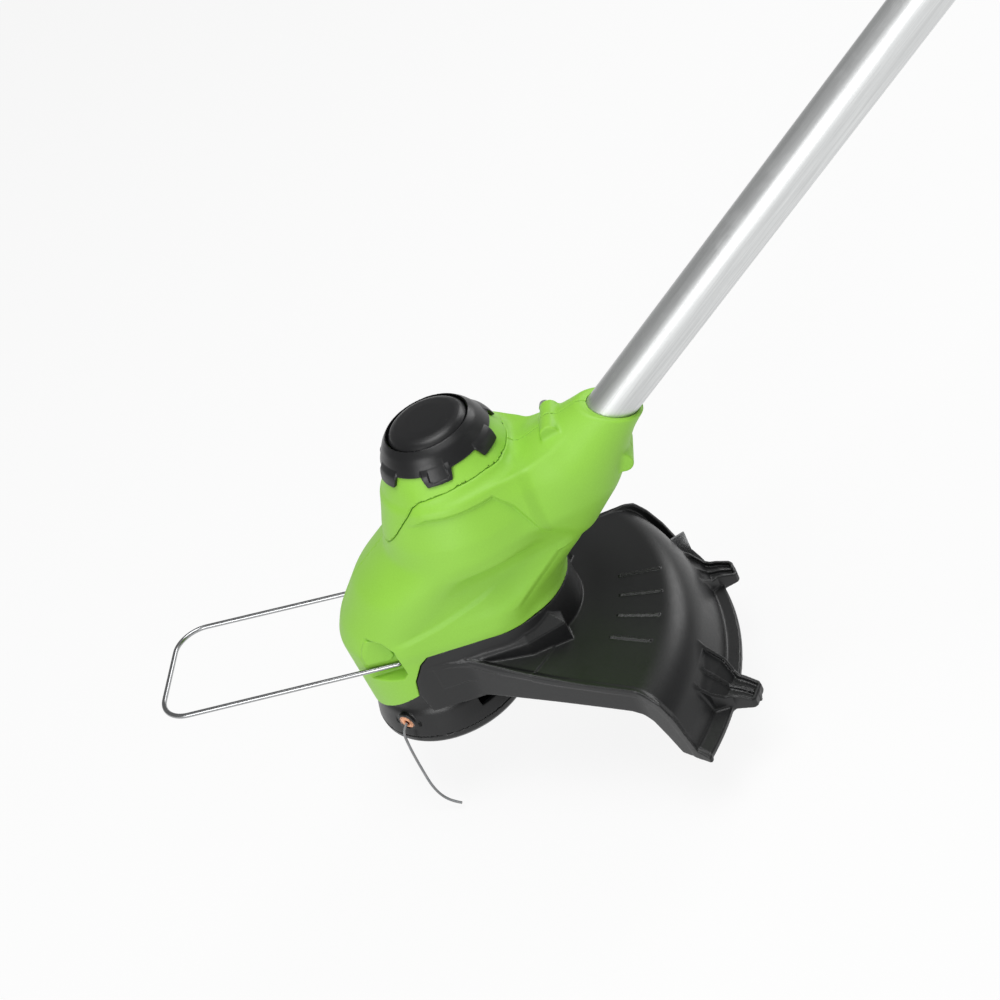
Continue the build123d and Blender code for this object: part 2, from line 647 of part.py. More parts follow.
with BuildPart() as shaft_lock:
    add(turned(SHAFT_SIDE, ((LOCK_S - 40, TUBE_R + RUN), (LOCK_S - 40, 16.5), (LOCK_S - 34, 20), (LOCK_S + 14, 21.5),
                            (LOCK_S + 44, 21.5), (LOCK_S + 50, 19), (LOCK_S + 50, UPPER_R + RUN),
                            (UPPER_START - GAP, UPPER_R + RUN), (UPPER_START - GAP, TUBE_R + RUN)), SHAFT_AXIS))
    for y in (-10, 10):
        ear = Plane(origin=(0, y, 0), x_dir=SHAFT_DIR, z_dir=(0, -1, 0))
        add(slab(ear, ((LOCK_S - 34, 15), (LOCK_S - 10, 15), (LOCK_S - 15, 31.5), (LOCK_S - 29, 31.5)), 2.6))
    add(rod(along(LOCK_S - 45), TUBE_R + RUN, 62), mode=Mode.SUBTRACT)
    add(lock_pin.part, mode=Mode.SUBTRACT)
write(shaft_lock, "shaft_lock")

with BuildPart() as lock_lever:
    add(rod(across(LOCK_S - 22, HINGE_T, 7), 4.6, 14))
    add(slab(SHAFT_SIDE, ((LOCK_S - 22, HINGE_T - 1), (LOCK_S - 18, HINGE_T + 4.5), (LOCK_S + 34, HINGE_T + 3),
                          (LOCK_S + 48, HINGE_T + 5.5), (LOCK_S + 48, HINGE_T + 2.5), (LOCK_S + 34, HINGE_T - 2),
                          (LOCK_S - 12, HINGE_T - 2)), 7))
    add(rod(across(LOCK_S - 22, HINGE_T, 8), 2.5 + RUN, 16), mode=Mode.SUBTRACT)
write(lock_lever, "lock_lever")

# ---------------------------------------------------------------- power lead inside the shaft
def shaft_point(s, t):
    """A point in the plane of symmetry, s along the shaft and t above it."""
    return Vector(s * SHAFT_DIR[0] + t * SHAFT_UP[0], 0, s * SHAFT_DIR[2] + t * SHAFT_UP[2])


LEAD_R = 2.2
with BuildPart() as power_cable:
    add(rod(along(TUBE_START - 12), LEAD_R, 462 - TUBE_START))
write(power_cable, "power_cable")
with BuildPart() as coiled_cable:
    add(rod(along(450), 8.0, 240, 4.0))
write(coiled_cable, "coiled_cable")
with BuildPart() as handle_cable:
    add(rod(along(692), LEAD_R, 300))
write(handle_cable, "handle_cable")

# ---------------------------------------------------------------- front loop handle
LOOP_PIVOT_T = 27.0
with BuildPart() as loop_bolt:
    add(rod(across(LOOP_S, LOOP_PIVOT_T, 30), 3.0, 62))
    with BuildSketch(across(LOOP_S, LOOP_PIVOT_T, 34)):
        RegularPolygon(6, 6)
    extrude(amount=4)
write(loop_bolt, "loop_bolt")

with BuildPart() as clamp_screws:
    for s in (LOOP_S - 13, LOOP_S + 13):
        for y in (-19.5, 19.5):
            spot = across(s, -7.0, y)
            add(screw(Plane(origin=spot.origin, x_dir=SHAFT_DIR, z_dir=(SHAFT_DIR[2], 0, -SHAFT_DIR[0])),
                      2.0, 14, 3.6, 2.8))
write(clamp_screws, "clamp_screws")

with BuildPart() as loop_clamp:
    with BuildSketch(along(LOOP_S - 19)):
        Circle(UPPER_R + 5)
        Rectangle(20, 50)
        with Locations((18, 0)):
            Rectangle(26, 20)
    extrude(amount=38)
    add(rod(across(LOOP_S, LOOP_PIVOT_T, 12), 9, 24))
    add(rod(along(LOOP_S - 25), UPPER_R, 50), mode=Mode.SUBTRACT)
    add(loop_bolt.part, mode=Mode.SUBTRACT)
    add(clamp_screws.part, mode=Mode.SUBTRACT)
    for y in (-24, 24):
        slot = Plane(origin=(0, y, 0), x_dir=SHAFT_DIR, z_dir=(0, -1, 0))
        add(slab(slot, ((LOOP_S - 30, -0.6), (LOOP_S + 30, -0.6), (LOOP_S + 30, 0.6), (LOOP_S - 30, 0.6)), 9.5),
            mode=Mode.SUBTRACT)
    add(slab(SHAFT_SIDE, ((LOOP_S - 19.5, 33), (LOOP_S - 19.5, 20), (LOOP_S - 9, 20), (LOOP_S - 9, 33)), 14),
        mode=Mode.SUBTRACT)
    add(slab(SHAFT_SIDE, ((LOOP_S + 19.5, 33), (LOOP_S + 19.5, 20), (LOOP_S + 9, 20), (LOOP_S + 9, 33)), 14),
        mode=Mode.SUBTRACT)
write(loop_clamp, "loop_clamp")

LOOP_TILT = 22.0
LOOP_TUBE_R = 8.5
GRIP_R = 13.0
tilt = radians(SHAFT_ANGLE + 90 + LOOP_TILT)
LOOP_UP = (cos(tilt), 0, sin(tilt))
pivot = shaft_point(LOOP_S, LOOP_PIVOT_T)


def loop_point(y, height):
    """A point of the loop handle's frame: y across, height above its pivot."""
    return Vector(pivot.X + height * LOOP_UP[0], y, pivot.Z + height * LOOP_UP[2])


with BuildPart() as loop_handle:
    with BuildLine() as loop_path:
        FilletPolyline(loop_point(-19.5, 2), loop_point(-19.5, 34), loop_point(-62, 72), loop_point(-62, 124),
                       loop_point(62, 124), loop_point(62, 72), loop_point(19.5, 34), loop_point(19.5, 2),
                       radius=[14, 26, 30, 30, 26, 14])
    with BuildSketch(Plane(origin=loop_point(-19.5, 2), z_dir=LOOP_UP)):
        Circle(LOOP_TUBE_R - 1.5)
    sweep(path=loop_path.wires()[0])
    for y in (-12.4, 27.4):
        add(rod(across(LOOP_S, LOOP_PIVOT_T, y), 10, 15))
    add(rod(across(LOOP_S, LOOP_PIVOT_T, 40), 3.0 + RUN, 80), mode=Mode.SUBTRACT)
    add(rod(across(LOOP_S, LOOP_PIVOT_T, 12.4), 16, 24.8), mode=Mode.SUBTRACT)
write(loop_handle, "loop_handle")

with BuildPart() as loop_grip:
    with BuildSketch(Plane(origin=loop_point(-30, 124), z_dir=(0, 1, 0))):
        Circle(GRIP_R)
        Circle(LOOP_TUBE_R - 1.5, mode=Mode.SUBTRACT)
    extrude(amount=60)
    chamfer(loop_grip.edges().filter_by(GeomType.CIRCLE).sort_by(SortBy.RADIUS)[-2:], length=2)
write(loop_grip, "loop_grip")

with BuildPart() as loop_knob:
    with BuildSketch(across(LOOP_S, LOOP_PIVOT_T, -28.4)):
        Circle(11)
        with PolarLocations(14, 3, start_angle=90):
            Circle(7.5)
        make_hull()
        with PolarLocations(21, 3, start_angle=30):
            Circle(10, mode=Mode.SUBTRACT)
    extrude(amount=9)
    add(rod(across(LOOP_S, LOOP_PIVOT_T, -27.8), 9, 2))
    add(rod(across(LOOP_S, LOOP_PIVOT_T, -20), 3.0 + RUN, 14), mode=Mode.SUBTRACT)
write(loop_knob, "loop_knob")

# ---------------------------------------------------------------- rear handle
BAY_S = 1176.0
BAY_END = 1262.0
BATTERY_S = 1188.0
BATTERY_END = 1296.0
BATTERY_T = (-26.0, 24.0)
BATTERY_Y = 37.0
GRIP_Y = 17.0
BAY_Y = 42.0
BODY = ((GRIP_S - 14, -19), (GRIP_S - 14, 19), (GRIP_S + 16, 22), (1020, 20), (1110, 17), (1148, 22), (BAY_S, 34),
        (BAY_S, -80), (1160, -78), (1040, -72), (1006, -60), (984, -30), (970, -21))
FINGER_GAP = ((1016, -26), (1010, -44), (1022, -58), (1046, -61), (1138, -64), (1150, -52), (1146, -30),
              (1124, -22), (1090, -24))
BAY = ((BAY_S - 6, -84), (BAY_S - 12, -70), (BAY_S - 12, 26), (BAY_S - 4, 36), (BAY_END - 4, 36), (BAY_END, 32),
       (BAY_END, -34), (BAY_END - 14, -40), (BAY_S + 22, -44), (BAY_S + 10, -84))


def handle_volume(inset):
    """Rear handle's outer volume, or the space inside it when inset by the wall."""
    with BuildPart() as body:
        with BuildSketch(SHAFT_SIDE):
            with BuildLine():
                Polyline(*BODY, close=True)
            make_face()
            with BuildLine():
                Polyline(*FINGER_GAP, close=True)
            make_face(mode=Mode.SUBTRACT)
            if inset:
                offset(amount=-inset, kind=Kind.INTERSECTION)
        extrude(amount=GRIP_Y - inset, both=True)
        if not inset:
            side_edges = body.edges().filter_by(Plane.XZ).group_by(Axis.Y)
            chamfer(side_edges[0] + side_edges[-1], length=4.5)
        with BuildSketch(SHAFT_SIDE):
            with BuildLine():
                Polyline(*BAY, close=True)
            make_face()
            if inset:
                offset(amount=-inset, kind=Kind.INTERSECTION)
        extrude(amount=BAY_Y - inset, both=True)
        if not inset:
            bay_edges = body.edges().filter_by(Plane.XZ).group_by(Axis.Y)
            chamfer(bay_edges[0] + bay_edges[-1], length=3)
    return body.part


TRIGGER_S = 1036.0
TRIGGER_T = -10.0
BOARD_S = 1090.0
HANDLE_BOSSES = ((1017, 13.5), (1003, -46), (1066, 12.5), (1154, -12), (1164, -68))

with BuildPart() as handle_screws:
    for s, t in HANDLE_BOSSES:
        spot = across(s, t, 0)
        add(screw(Plane(origin=(spot.origin.X, GRIP_Y - 2, spot.origin.Z), x_dir=SHAFT_DIR, z_dir=(0, 1, 0)),
                  1.6, 22, 3.2, 2.3))
write(handle_screws, "handle_screws")

with BuildPart() as trigger_pin:
    add(rod(across(TRIGGER_S, TRIGGER_T, GRIP_Y - WALL), 2.0, 2 * (GRIP_Y - WALL)))
write(trigger_pin, "trigger_pin")

handle_outer = handle_volume(0)
handle_inner = handle_volume(WALL)


def handle_half(side):
    """One moulded half of the rear handle; side is -1 on the left and 1 on the right."""
    with BuildPart() as half:
        add(handle_outer)
        add(handle_inner, mode=Mode.SUBTRACT)
        add(rod(along(GRIP_S - 14), UPPER_R + 3, 66))
        for s, t in HANDLE_BOSSES:
            add(rod(across(s, t, GRIP_Y - 1), 3.6, 2 * GRIP_Y - 2))
        for y in (-GRIP_Y + WALL, GRIP_Y - WALL - 4):
            spot = across(TRIGGER_S, TRIGGER_T, y + 4)
            add(rod(spot, 4.5, 4))
        add(trigger_pin.part, mode=Mode.SUBTRACT)
        add(slab(SHAFT_SIDE, ((TRIGGER_S - 12, -16), (TRIGGER_S - 12, -34), (TRIGGER_S + 68, -34),
                              (TRIGGER_S + 68, -16)), 7), mode=Mode.SUBTRACT)
        add(slab(SHAFT_SIDE, ((BAY_S + 8, BATTERY_T[0] - GAP), (BAY_S + 8, BATTERY_T[1] + GAP),
                              (BAY_END + 9, BATTERY_T[1] + GAP), (BAY_END + 9, BATTERY_T[0] - GAP)),
                 BATTERY_Y + GAP), mode=Mode.SUBTRACT)
        add(slab(SHAFT_SIDE, ((BAY_S + 56, BATTERY_T[1]), (BAY_S + 56, 40), (BAY_END + 9, 40),
                              (BAY_END + 9, BATTERY_T[1])), 15), mode=Mode.SUBTRACT)
        add(rod(along(GRIP_S - 20), UPPER_BORE - 0.5, 80), mode=Mode.SUBTRACT)
        add(rod(along(GRIP_S - 20), UPPER_R, UPPER_END - GRIP_S + 20), mode=Mode.SUBTRACT)
        add(slab(SHAFT_SIDE, ((1034, 5), (1034, 30), (1054, 30), (1054, 5)), 6.4), mode=Mode.SUBTRACT)
        for s, t in HANDLE_BOSSES:
            spot = across(s, t, 0).origin
            recess = Plane(origin=(spot.X, GRIP_Y - 2, spot.Z), x_dir=SHAFT_DIR, z_dir=(0, 1, 0))
            add(rod(recess, 3.2, 6), mode=Mode.SUBTRACT)
        add(handle_screws.part, mode=Mode.SUBTRACT)
        split(bisect_by=Plane(origin=(0, 0, 0), z_dir=(0, side, 0)), keep=Keep.TOP)
    return half


handle_left = handle_half(-1)
write(handle_left, "handle_left")
handle_right = handle_half(1)
write(handle_right, "handle_right")

with BuildPart() as trigger:
    add(slab(SHAFT_SIDE, ((TRIGGER_S - 5, TRIGGER_T + 3), (TRIGGER_S + 6, TRIGGER_T + 4), (TRIGGER_S + 58, -16),
                          (TRIGGER_S + 58, -20), (TRIGGER_S + 50, -31), (TRIGGER_S + 34, -36),
                          (TRIGGER_S + 14, -34), (TRIGGER_S - 2, -26), (TRIGGER_S - 8, -17)), 6.4))
    add(rod(across(TRIGGER_S, TRIGGER_T, 9), 4.6, 18))
    add(rod(across(TRIGGER_S, TRIGGER_T, 10), 2.0 + RUN, 20), mode=Mode.SUBTRACT)
write(trigger, "trigger")

with BuildPart() as power_switch:
    add(slab(SHAFT_SIDE, ((TRIGGER_S + 30, -5), (TRIGGER_S + 30, 5), (TRIGGER_S + 50, 5), (TRIGGER_S + 50, -5)), 5))
    add(slab(SHAFT_SIDE, ((TRIGGER_S + 44, -6.5), (TRIGGER_S + 44, -5), (TRIGGER_S + 48, -5),
                          (TRIGGER_S + 48, -6.5)), 2))
write(power_switch, "power_switch")

with BuildPart() as lock_button:
    add(slab(SHAFT_SIDE, ((1035, 9), (1035, 20), (1038, 27), (1050, 27), (1053, 20), (1053, 9)), 6.0))
    add(slab(SHAFT_SIDE, ((1032, 8), (1032, 11), (1056, 11), (1056, 8)), 6.0))
write(lock_button, "lock_button")

with BuildPart() as control_board:
    add(slab(SHAFT_SIDE, ((BOARD_S + 10, -2), (BOARD_S + 10, -0.4), (BOARD_S + 66, -0.4), (BOARD_S + 66, -2)), 12))
    for s, half_width in ((BOARD_S + 20, 4), (BOARD_S + 36, 8), (BOARD_S + 54, 5)):
        add(slab(SHAFT_SIDE, ((s - 6, -0.4), (s - 6, 6), (s + 6, 6), (s + 6, -0.4)), half_width))
write(control_board, "control_board")

with BuildPart() as battery_terminals:
    add(slab(SHAFT_SIDE, ((BAY_S - 8, -14), (BAY_S - 8, 12), (BAY_S + 7.9, 12), (BAY_S + 7.9, -14)), 20))
    for y in (-14, 0, 14):
        blade = Plane(origin=(0, y, 0), x_dir=SHAFT_DIR, z_dir=(0, -1, 0))
        add(slab(blade, ((BAY_S + 7.9, -10), (BAY_S + 7.9, 8), (BAY_S + 20, 8), (BAY_S + 20, -10)), 0.5))
write(battery_terminals, "battery_terminals")

# ---------------------------------------------------------------- battery
with BuildPart() as battery_case:
    add(slab(SHAFT_SIDE, ((BATTERY_S, BATTERY_T[0]), (BATTERY_S, BATTERY_T[1]), (BAY_END + 6, BATTERY_T[1]),
                          (BATTERY_END - 6, BATTERY_T[1] + 6), (BATTERY_END, BATTERY_T[1] + 2),
                          (BATTERY_END, BATTERY_T[0] + 4), (BATTERY_END - 8, BATTERY_T[0] - 4),
                          (BAY_END + 6, BATTERY_T[0] - 2), (BAY_END + 4, BATTERY_T[0])), BATTERY_Y))
    chamfer(battery_case.edges().filter_by(Axis.Y).sort_by(Axis.X)[-6:], length=1.2)
    add(slab(SHAFT_SIDE, ((BATTERY_S + 8, BATTERY_T[0] + 2.2), (BATTERY_S + 8, BATTERY_T[1] - 6),
                          (BATTERY_END - 4, BATTERY_T[1] - 6), (BATTERY_END - 4, BATTERY_T[0] + 2.2)),
             BATTERY_Y - 2.2), mode=Mode.SUBTRACT)
    for y in (-14, 0, 14):
        mouth = Plane(origin=(0, y, 0), x_dir=SHAFT_DIR, z_dir=(0, -1, 0))
        add(slab(mouth, ((BATTERY_S - 1, -12), (BATTERY_S - 1, 10), (BATTERY_S + 9, 10), (BATTERY_S + 9, -12)), 2),
            mode=Mode.SUBTRACT)
    add(slab(SHAFT_SIDE, ((1236, BATTERY_T[1] - 4.4), (1236, 40), (1276, 40), (1276, BATTERY_T[1] - 4.4)), 12.4),
        mode=Mode.SUBTRACT)
write(battery_case, "battery_case")

CELL_R = 9.15
with BuildPart() as battery_cells:
    for row in range(2):
        for column in range(4):
            add(rod(across(BATTERY_S + 24 + 19 * column, -13.5 + 19 * row * 0.97, 32.5), CELL_R, 65))
write(battery_cells, "battery_cells")

with BuildPart() as battery_latch:
    add(slab(SHAFT_SIDE, ((1237, 20.8), (1237, 29), (1240, 33), (1248, 33), (1252, 29), (1270, 28), (1275, 24),
                          (1275, 20.8)), 12.0))
write(battery_latch, "battery_latch")
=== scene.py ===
"""String trimmer: geared head with wire guard and debris guard, bare tube, lock, loop and trigger handles, battery.

The moulded parts are modelled as distance fields, in millimetres from the spool's axis and the drum's rim,
and skinned with quads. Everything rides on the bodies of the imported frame.
"""
from __future__ import annotations

import json
import logging
import math
from dataclasses import dataclass
from enum import Enum
from typing import Callable, Sequence

import bpy
import numpy as np
from mathutils import Matrix, Vector


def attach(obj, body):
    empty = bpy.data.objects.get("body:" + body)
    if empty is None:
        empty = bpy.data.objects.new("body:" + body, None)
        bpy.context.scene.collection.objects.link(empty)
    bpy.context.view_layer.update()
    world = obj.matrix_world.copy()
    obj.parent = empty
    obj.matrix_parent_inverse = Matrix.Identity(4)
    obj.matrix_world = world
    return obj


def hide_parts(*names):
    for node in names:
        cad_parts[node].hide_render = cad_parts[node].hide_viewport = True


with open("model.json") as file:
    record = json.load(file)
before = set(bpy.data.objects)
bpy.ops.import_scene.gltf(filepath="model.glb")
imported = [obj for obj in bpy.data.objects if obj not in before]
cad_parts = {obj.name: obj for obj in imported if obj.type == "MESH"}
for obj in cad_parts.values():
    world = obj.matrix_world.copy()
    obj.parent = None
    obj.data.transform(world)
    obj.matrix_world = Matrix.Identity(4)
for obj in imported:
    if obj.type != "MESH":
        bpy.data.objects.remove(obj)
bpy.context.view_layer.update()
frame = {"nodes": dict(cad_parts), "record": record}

LOG = logging.getLogger("trimmer")
MM = 0.001
SPOOL = Vector((-0.157, 0.0, -0.1584))
SLOPE = math.radians(38.2)
COS, SIN = math.cos(SLOPE), math.sin(SLOPE)
ALONG = Vector((COS, 0.0, SIN))
UPWARD = Vector((-SIN, 0.0, COS))
MOTOR_X = 58.0
Array = np.ndarray
Field = Callable[[Array, Array, Array], Array]
Points = Sequence[tuple[float, float]]


# ---------------------------------------------------------------- places
def head_spot(x: float, y: float, z: float) -> Vector:
    """A point in millimetres from the spool's axis and the drum's rim, as a point of the frame."""
    return SPOOL + Vector((x, y, z)) * MM


def shaft_spot(s: float, t: float, y: float = 0.0) -> Vector:
    """A point s millimetres along the shaft and t above it, as a point of the frame."""
    return (ALONG * s + UPWARD * t + Vector((0.0, y, 0.0))) * MM


# ---------------------------------------------------------------- distance fields
def union(a: Array, b: Array, soft: float = 0.0) -> Array:
    """Both solids, with a fillet of about the given size where they meet."""
    if soft <= 0:
        return np.minimum(a, b)
    h = np.clip(0.5 + 0.5 * (b - a) / soft, 0, 1)
    return b * (1 - h) + a * h - soft * h * (1 - h)


def meet(a: Array, b: Array, soft: float = 0.0) -> Array:
    """What two solids share, with an edge rounded by about the given size."""
    return -union(-a, -b, soft)


def cut(a: Array, b: Array, soft: float = 0.0) -> Array:
    """The first solid without the second."""
    return meet(a, -b, soft)


def ramp(value: Array, low: float, high: float) -> Array:
    """A smooth step from 0 at low to 1 at high."""
    t = np.clip((value - low) / (high - low), 0, 1)
    return t * t * (3 - 2 * t)


def outline(points: Points, u: Array, v: Array) -> Array:
    """Signed distance to a closed outline, negative inside."""
    u, v = np.broadcast_arrays(u, v)
    best = np.full(u.shape, 1e9)
    inside = np.zeros(u.shape, bool)
    for (ax, ay), (bx, by) in zip(points, [*points[1:], points[0]]):
        ex, ey = bx - ax, by - ay
        wx, wy = u - ax, v - ay
        t = np.clip((wx * ex + wy * ey) / (ex * ex + ey * ey), 0, 1)
        best = np.minimum(best, (wx - ex * t) ** 2 + (wy - ey * t) ** 2)
        if ey:
            inside ^= ((ay > v) != (by > v)) & (u < ex * (v - ay) / ey + ax)
    return np.where(inside, -1.0, 1.0) * np.sqrt(best)


def path_distance(points: Points, u: Array, v: Array) -> Array:
    """Distance to an open path of straight runs."""
    u, v = np.broadcast_arrays(u, v)
    best = np.full(u.shape, 1e9)
    for (ax, ay), (bx, by) in zip(points, points[1:]):
        ex, ey = bx - ax, by - ay
        wx, wy = u - ax, v - ay
        t = np.clip((wx * ex + wy * ey) / (ex * ex + ey * ey), 0, 1)
        best = np.minimum(best, (wx - ex * t) ** 2 + (wy - ey * t) ** 2)
    return np.sqrt(best)


def two_circles(x: Array, y: Array, xa: Array, ra: Array, xb: Array, rb: Array) -> Array:
    """Distance to the belt round two circles on the middle line."""
    gap = xb - xa
    lean = (ra - rb) / gap
    rise = np.sqrt(1 - lean ** 2)
    px, py = np.abs(y), x - xa
    k = rise * py - lean * px
    near = np.hypot(px, py) - ra
    far = np.hypot(px, py - gap) - rb
    side = px * rise + py * lean - ra
    return np.where(k < 0, near, np.where(k > rise * gap, far, side))


def smooth_curve(points: Points, blur: float, low: float, high: float) -> tuple[Array, Array]:
    """A curve through points with its corners rounded, as a table of places and values."""
    places = np.arange(low, high + 0.5, 0.5)
    spread = np.arange(-3 * blur, 3 * blur + 0.25, 0.5)
    weights = np.exp(-0.5 * (spread / blur) ** 2)
    xs, ys = zip(*points)
    values = sum(w * np.interp(places + d, xs, ys) for w, d in zip(weights, spread)) / weights.sum()
    return places, values


def round_path(points: Points, rounds: int = 2) -> list[tuple[float, float]]:
    """An open path with its corners cut smooth, its two ends kept."""
    line = [tuple(p) for p in points]
    for _ in range(rounds):
        grown = [line[0]]
        for (ax, ay), (bx, by) in zip(line, line[1:]):
            grown += [(0.75 * ax + 0.25 * bx, 0.75 * ay + 0.25 * by), (0.25 * ax + 0.75 * bx, 0.25 * ay + 0.75 * by)]
        line = [*grown, line[-1]]
    return line


def shaft_frame(x: Array, z: Array) -> tuple[Array, Array]:
    """Distance along the shaft from the collar's mouth, and above its axis, of points in the head's millimetres."""
    dx, dz = x - 157.0, z - 158.4
    return dx * COS + dz * SIN, dz * COS - dx * SIN


# ---------------------------------------------------------------- skins
@dataclass(frozen=True)
class Block:
    """The box a field is sampled in, in millimetres, and the size of a cell."""

    low: tuple[float, float, float]
    high: tuple[float, float, float]
    cell: float

    def axes(self) -> list[Array]:
        """The sampled places along each axis."""
        cell = self.cell * 1.0
        return [np.arange(a, b + cell, cell) for a, b in zip(self.low, self.high)]


def skin(field: Field, block: Block) -> tuple[Array, Array, Array]:
    """Quads over a field's surface.

    Args:
        field: signed distance, negative inside.
        block: where to look, and how finely.

    Returns:
        Points in millimetres, quads, and the surface's direction at each point.
    """
    xs, ys, zs = block.axes()
    value = field(xs[:, None, None], ys[None, :, None], zs[None, None, :])
    value = np.broadcast_to(value, (len(xs), len(ys), len(zs))).astype(np.float32)
    shape = np.array(value.shape)
    cells = shape - 1
    total = np.zeros((int(cells.prod()), 3))
    count = np.zeros(int(cells.prod()))
    strides = np.array([cells[1] * cells[2], cells[2], 1])
    edges = []
    for axis in range(3):
        a = value[tuple(slice(0, -1) if k == axis else slice(None) for k in range(3))]
        b = value[tuple(slice(1, None) if k == axis else slice(None) for k in range(3))]
        where = np.argwhere((a < 0) != (b < 0))
        va, vb = a[tuple(where.T)], b[tuple(where.T)]
        crossing = where.astype(float)
        crossing[:, axis] += va / (va - vb)
        others = [k for k in range(3) if k != axis]
        around = []
        for du, dv in ((-1, -1), (0, -1), (0, 0), (-1, 0)):
            cell = where.copy()
            cell[:, others[0]] += du
            cell[:, others[1]] += dv
            held = np.all((cell >= 0) & (cell < cells), axis=1)
            index = cell @ strides
            around.append(np.where(held, index, -1))
            count += np.bincount(index[held], minlength=len(count))
            for k in range(3):
                total[:, k] += np.bincount(index[held], crossing[held, k], minlength=len(count))
        quad = np.stack(around, axis=1)
        flip = (va > 0) != (axis == 1)
        quad[flip] = quad[flip][:, ::-1]
        edges.append(quad[np.all(quad >= 0, axis=1)])
    used = np.flatnonzero(count)
    number = np.full(len(count), -1)
    number[used] = np.arange(len(used))
    step = xs[1] - xs[0]
    points = np.array(block.low) + total[used] / count[used, None] * step
    faces = number[np.concatenate(edges)]
    for _ in range(3):
        points = settle(field, points, step)
    return points, faces, slope_of(field, points, 0.25)


def slope_of(field: Field, points: Array, reach: float) -> Array:
    """A field's direction of growth at points, by central differences."""
    rows = []
    for axis in range(3):
        move = np.zeros(3)
        move[axis] = reach
        rows.append(field(*(points + move).T) - field(*(points - move).T))
    slope = np.stack(rows, axis=1) / (2 * reach)
    return slope


def settle(field: Field, points: Array, step: float) -> Array:
    """Points moved down the field onto its surface, by less than half a cell."""
    slope = slope_of(field, points, 0.1)
    size = np.maximum((slope ** 2).sum(axis=1), 0.05)
    move = slope * (field(*points.T) / size)[:, None]
    length = np.linalg.norm(move, axis=1, keepdims=True)
    return points - move * np.minimum(1.0, 0.45 * step / np.maximum(length, 1e-9))


def make_object(name: str, points: Array, faces: Sequence, normals: Array | None = None) -> bpy.types.Object:
    """A smooth-shaded mesh object from points in metres."""
    mesh = bpy.data.meshes.new(name)
    mesh.from_pydata(points.tolist() if isinstance(points, np.ndarray) else points, [],
                     faces.tolist() if isinstance(faces, np.ndarray) else faces)
    mesh.update()
    mesh.polygons.foreach_set("use_smooth", [True] * len(mesh.polygons))
    if normals is not None:
        lengths = np.maximum(np.linalg.norm(normals, axis=1, keepdims=True), 1e-9)
        mesh.normals_split_custom_set_from_vertices((normals / lengths).tolist())
    piece = bpy.data.objects.new(name, mesh)
    bpy.context.scene.collection.objects.link(piece)
    return piece


def moulded(name: str, field: Field, block: Block, mirrored: bool = False) -> bpy.types.Object:
    """A piece skinned from a field given in the head's millimetres.

    Args:
        name: the piece's name.
        field: its signed distance.
        block: where to look.
        mirrored: makes the other hand of the piece instead.

    Returns:
        The new object, in the frame's metres.
    """
    points, faces, normals = skin(field, block)
    if mirrored:
        points, normals, faces = points * (1, -1, 1), normals * (1, -1, 1), faces[:, ::-1]
    return make_object(name, points * MM + np.array(SPOOL), faces, normals)


def lathe(name: str, profile: Points, origin: Vector, axis: Vector, sides: int = 96,
          closed: bool = True) -> bpy.types.Object:
    """A turned piece from a profile of radius and distance along an axis, in millimetres."""
    turn = axis.normalized().to_track_quat("Z", "Y").to_matrix()
    rows = []
    for radius, height in profile:
        for k in range(sides):
            a = 2 * math.pi * k / sides
            rows.append(origin + turn @ Vector((radius * math.cos(a), radius * math.sin(a), height)) * MM)
    faces = []
    loops = len(profile)
    for i in range(loops if closed else loops - 1):
        j = (i + 1) % loops
        for k in range(sides):
            m = (k + 1) % sides
            faces.append((i * sides + k, i * sides + m, j * sides + m, j * sides + k))
    piece = make_object(name, np.array([tuple(v) for v in rows]), faces)
    piece.data.set_sharp_from_angle(angle=math.radians(35))
    return piece


def arc(radius: float, centre: tuple[float, float], start: float, end: float, steps: int = 6) -> list[tuple[float, float]]:
    """Points of an arc in a profile, from one angle in degrees to another."""
    angles = np.radians(np.linspace(start, end, steps + 1))
    return [(centre[0] + radius * math.cos(a), centre[1] + radius * math.sin(a)) for a in angles]


def swept_rod(name: str, points: Sequence[Vector], radius: float, sides: int = 20) -> bpy.types.Object:
    """A round bar along a path of points in metres, with rounded ends."""
    path = [Vector(p) for p in points]
    tangents = [(b - a).normalized() for a, b in zip(path, path[1:])]
    tangents = [tangents[0], *[(a + b).normalized() for a, b in zip(tangents, tangents[1:])], tangents[-1]]
    normal = tangents[0].orthogonal().normalized()
    rows: list[Vector] = []

    def ring(centre: Vector, tangent: Vector, size: float) -> None:
        """One ring of points round the path."""
        nonlocal normal
        normal = (normal - tangent * normal.dot(tangent)).normalized()
        other = tangent.cross(normal)
        for k in range(sides):
            a = 2 * math.pi * k / sides
            rows.append(centre + (normal * math.cos(a) + other * math.sin(a)) * size)

    ring(path[0] - tangents[0] * radius * 0.3, tangents[0], radius * 0.6)
    for centre, tangent in zip(path, tangents):
        ring(centre, tangent, radius)
    ring(path[-1] + tangents[-1] * radius * 0.3, tangents[-1], radius * 0.6)
    count = len(rows) // sides
    faces: list[tuple[int, ...]] = []
    for i in range(count - 1):
        for k in range(sides):
            m = (k + 1) % sides
            faces.append((i * sides + k, i * sides + m, (i + 1) * sides + m, (i + 1) * sides + k))
    faces.append(tuple(reversed(range(sides))))
    faces.append(tuple((count - 1) * sides + k for k in range(sides)))
    return make_object(name, np.array([tuple(v) for v in rows]), faces)


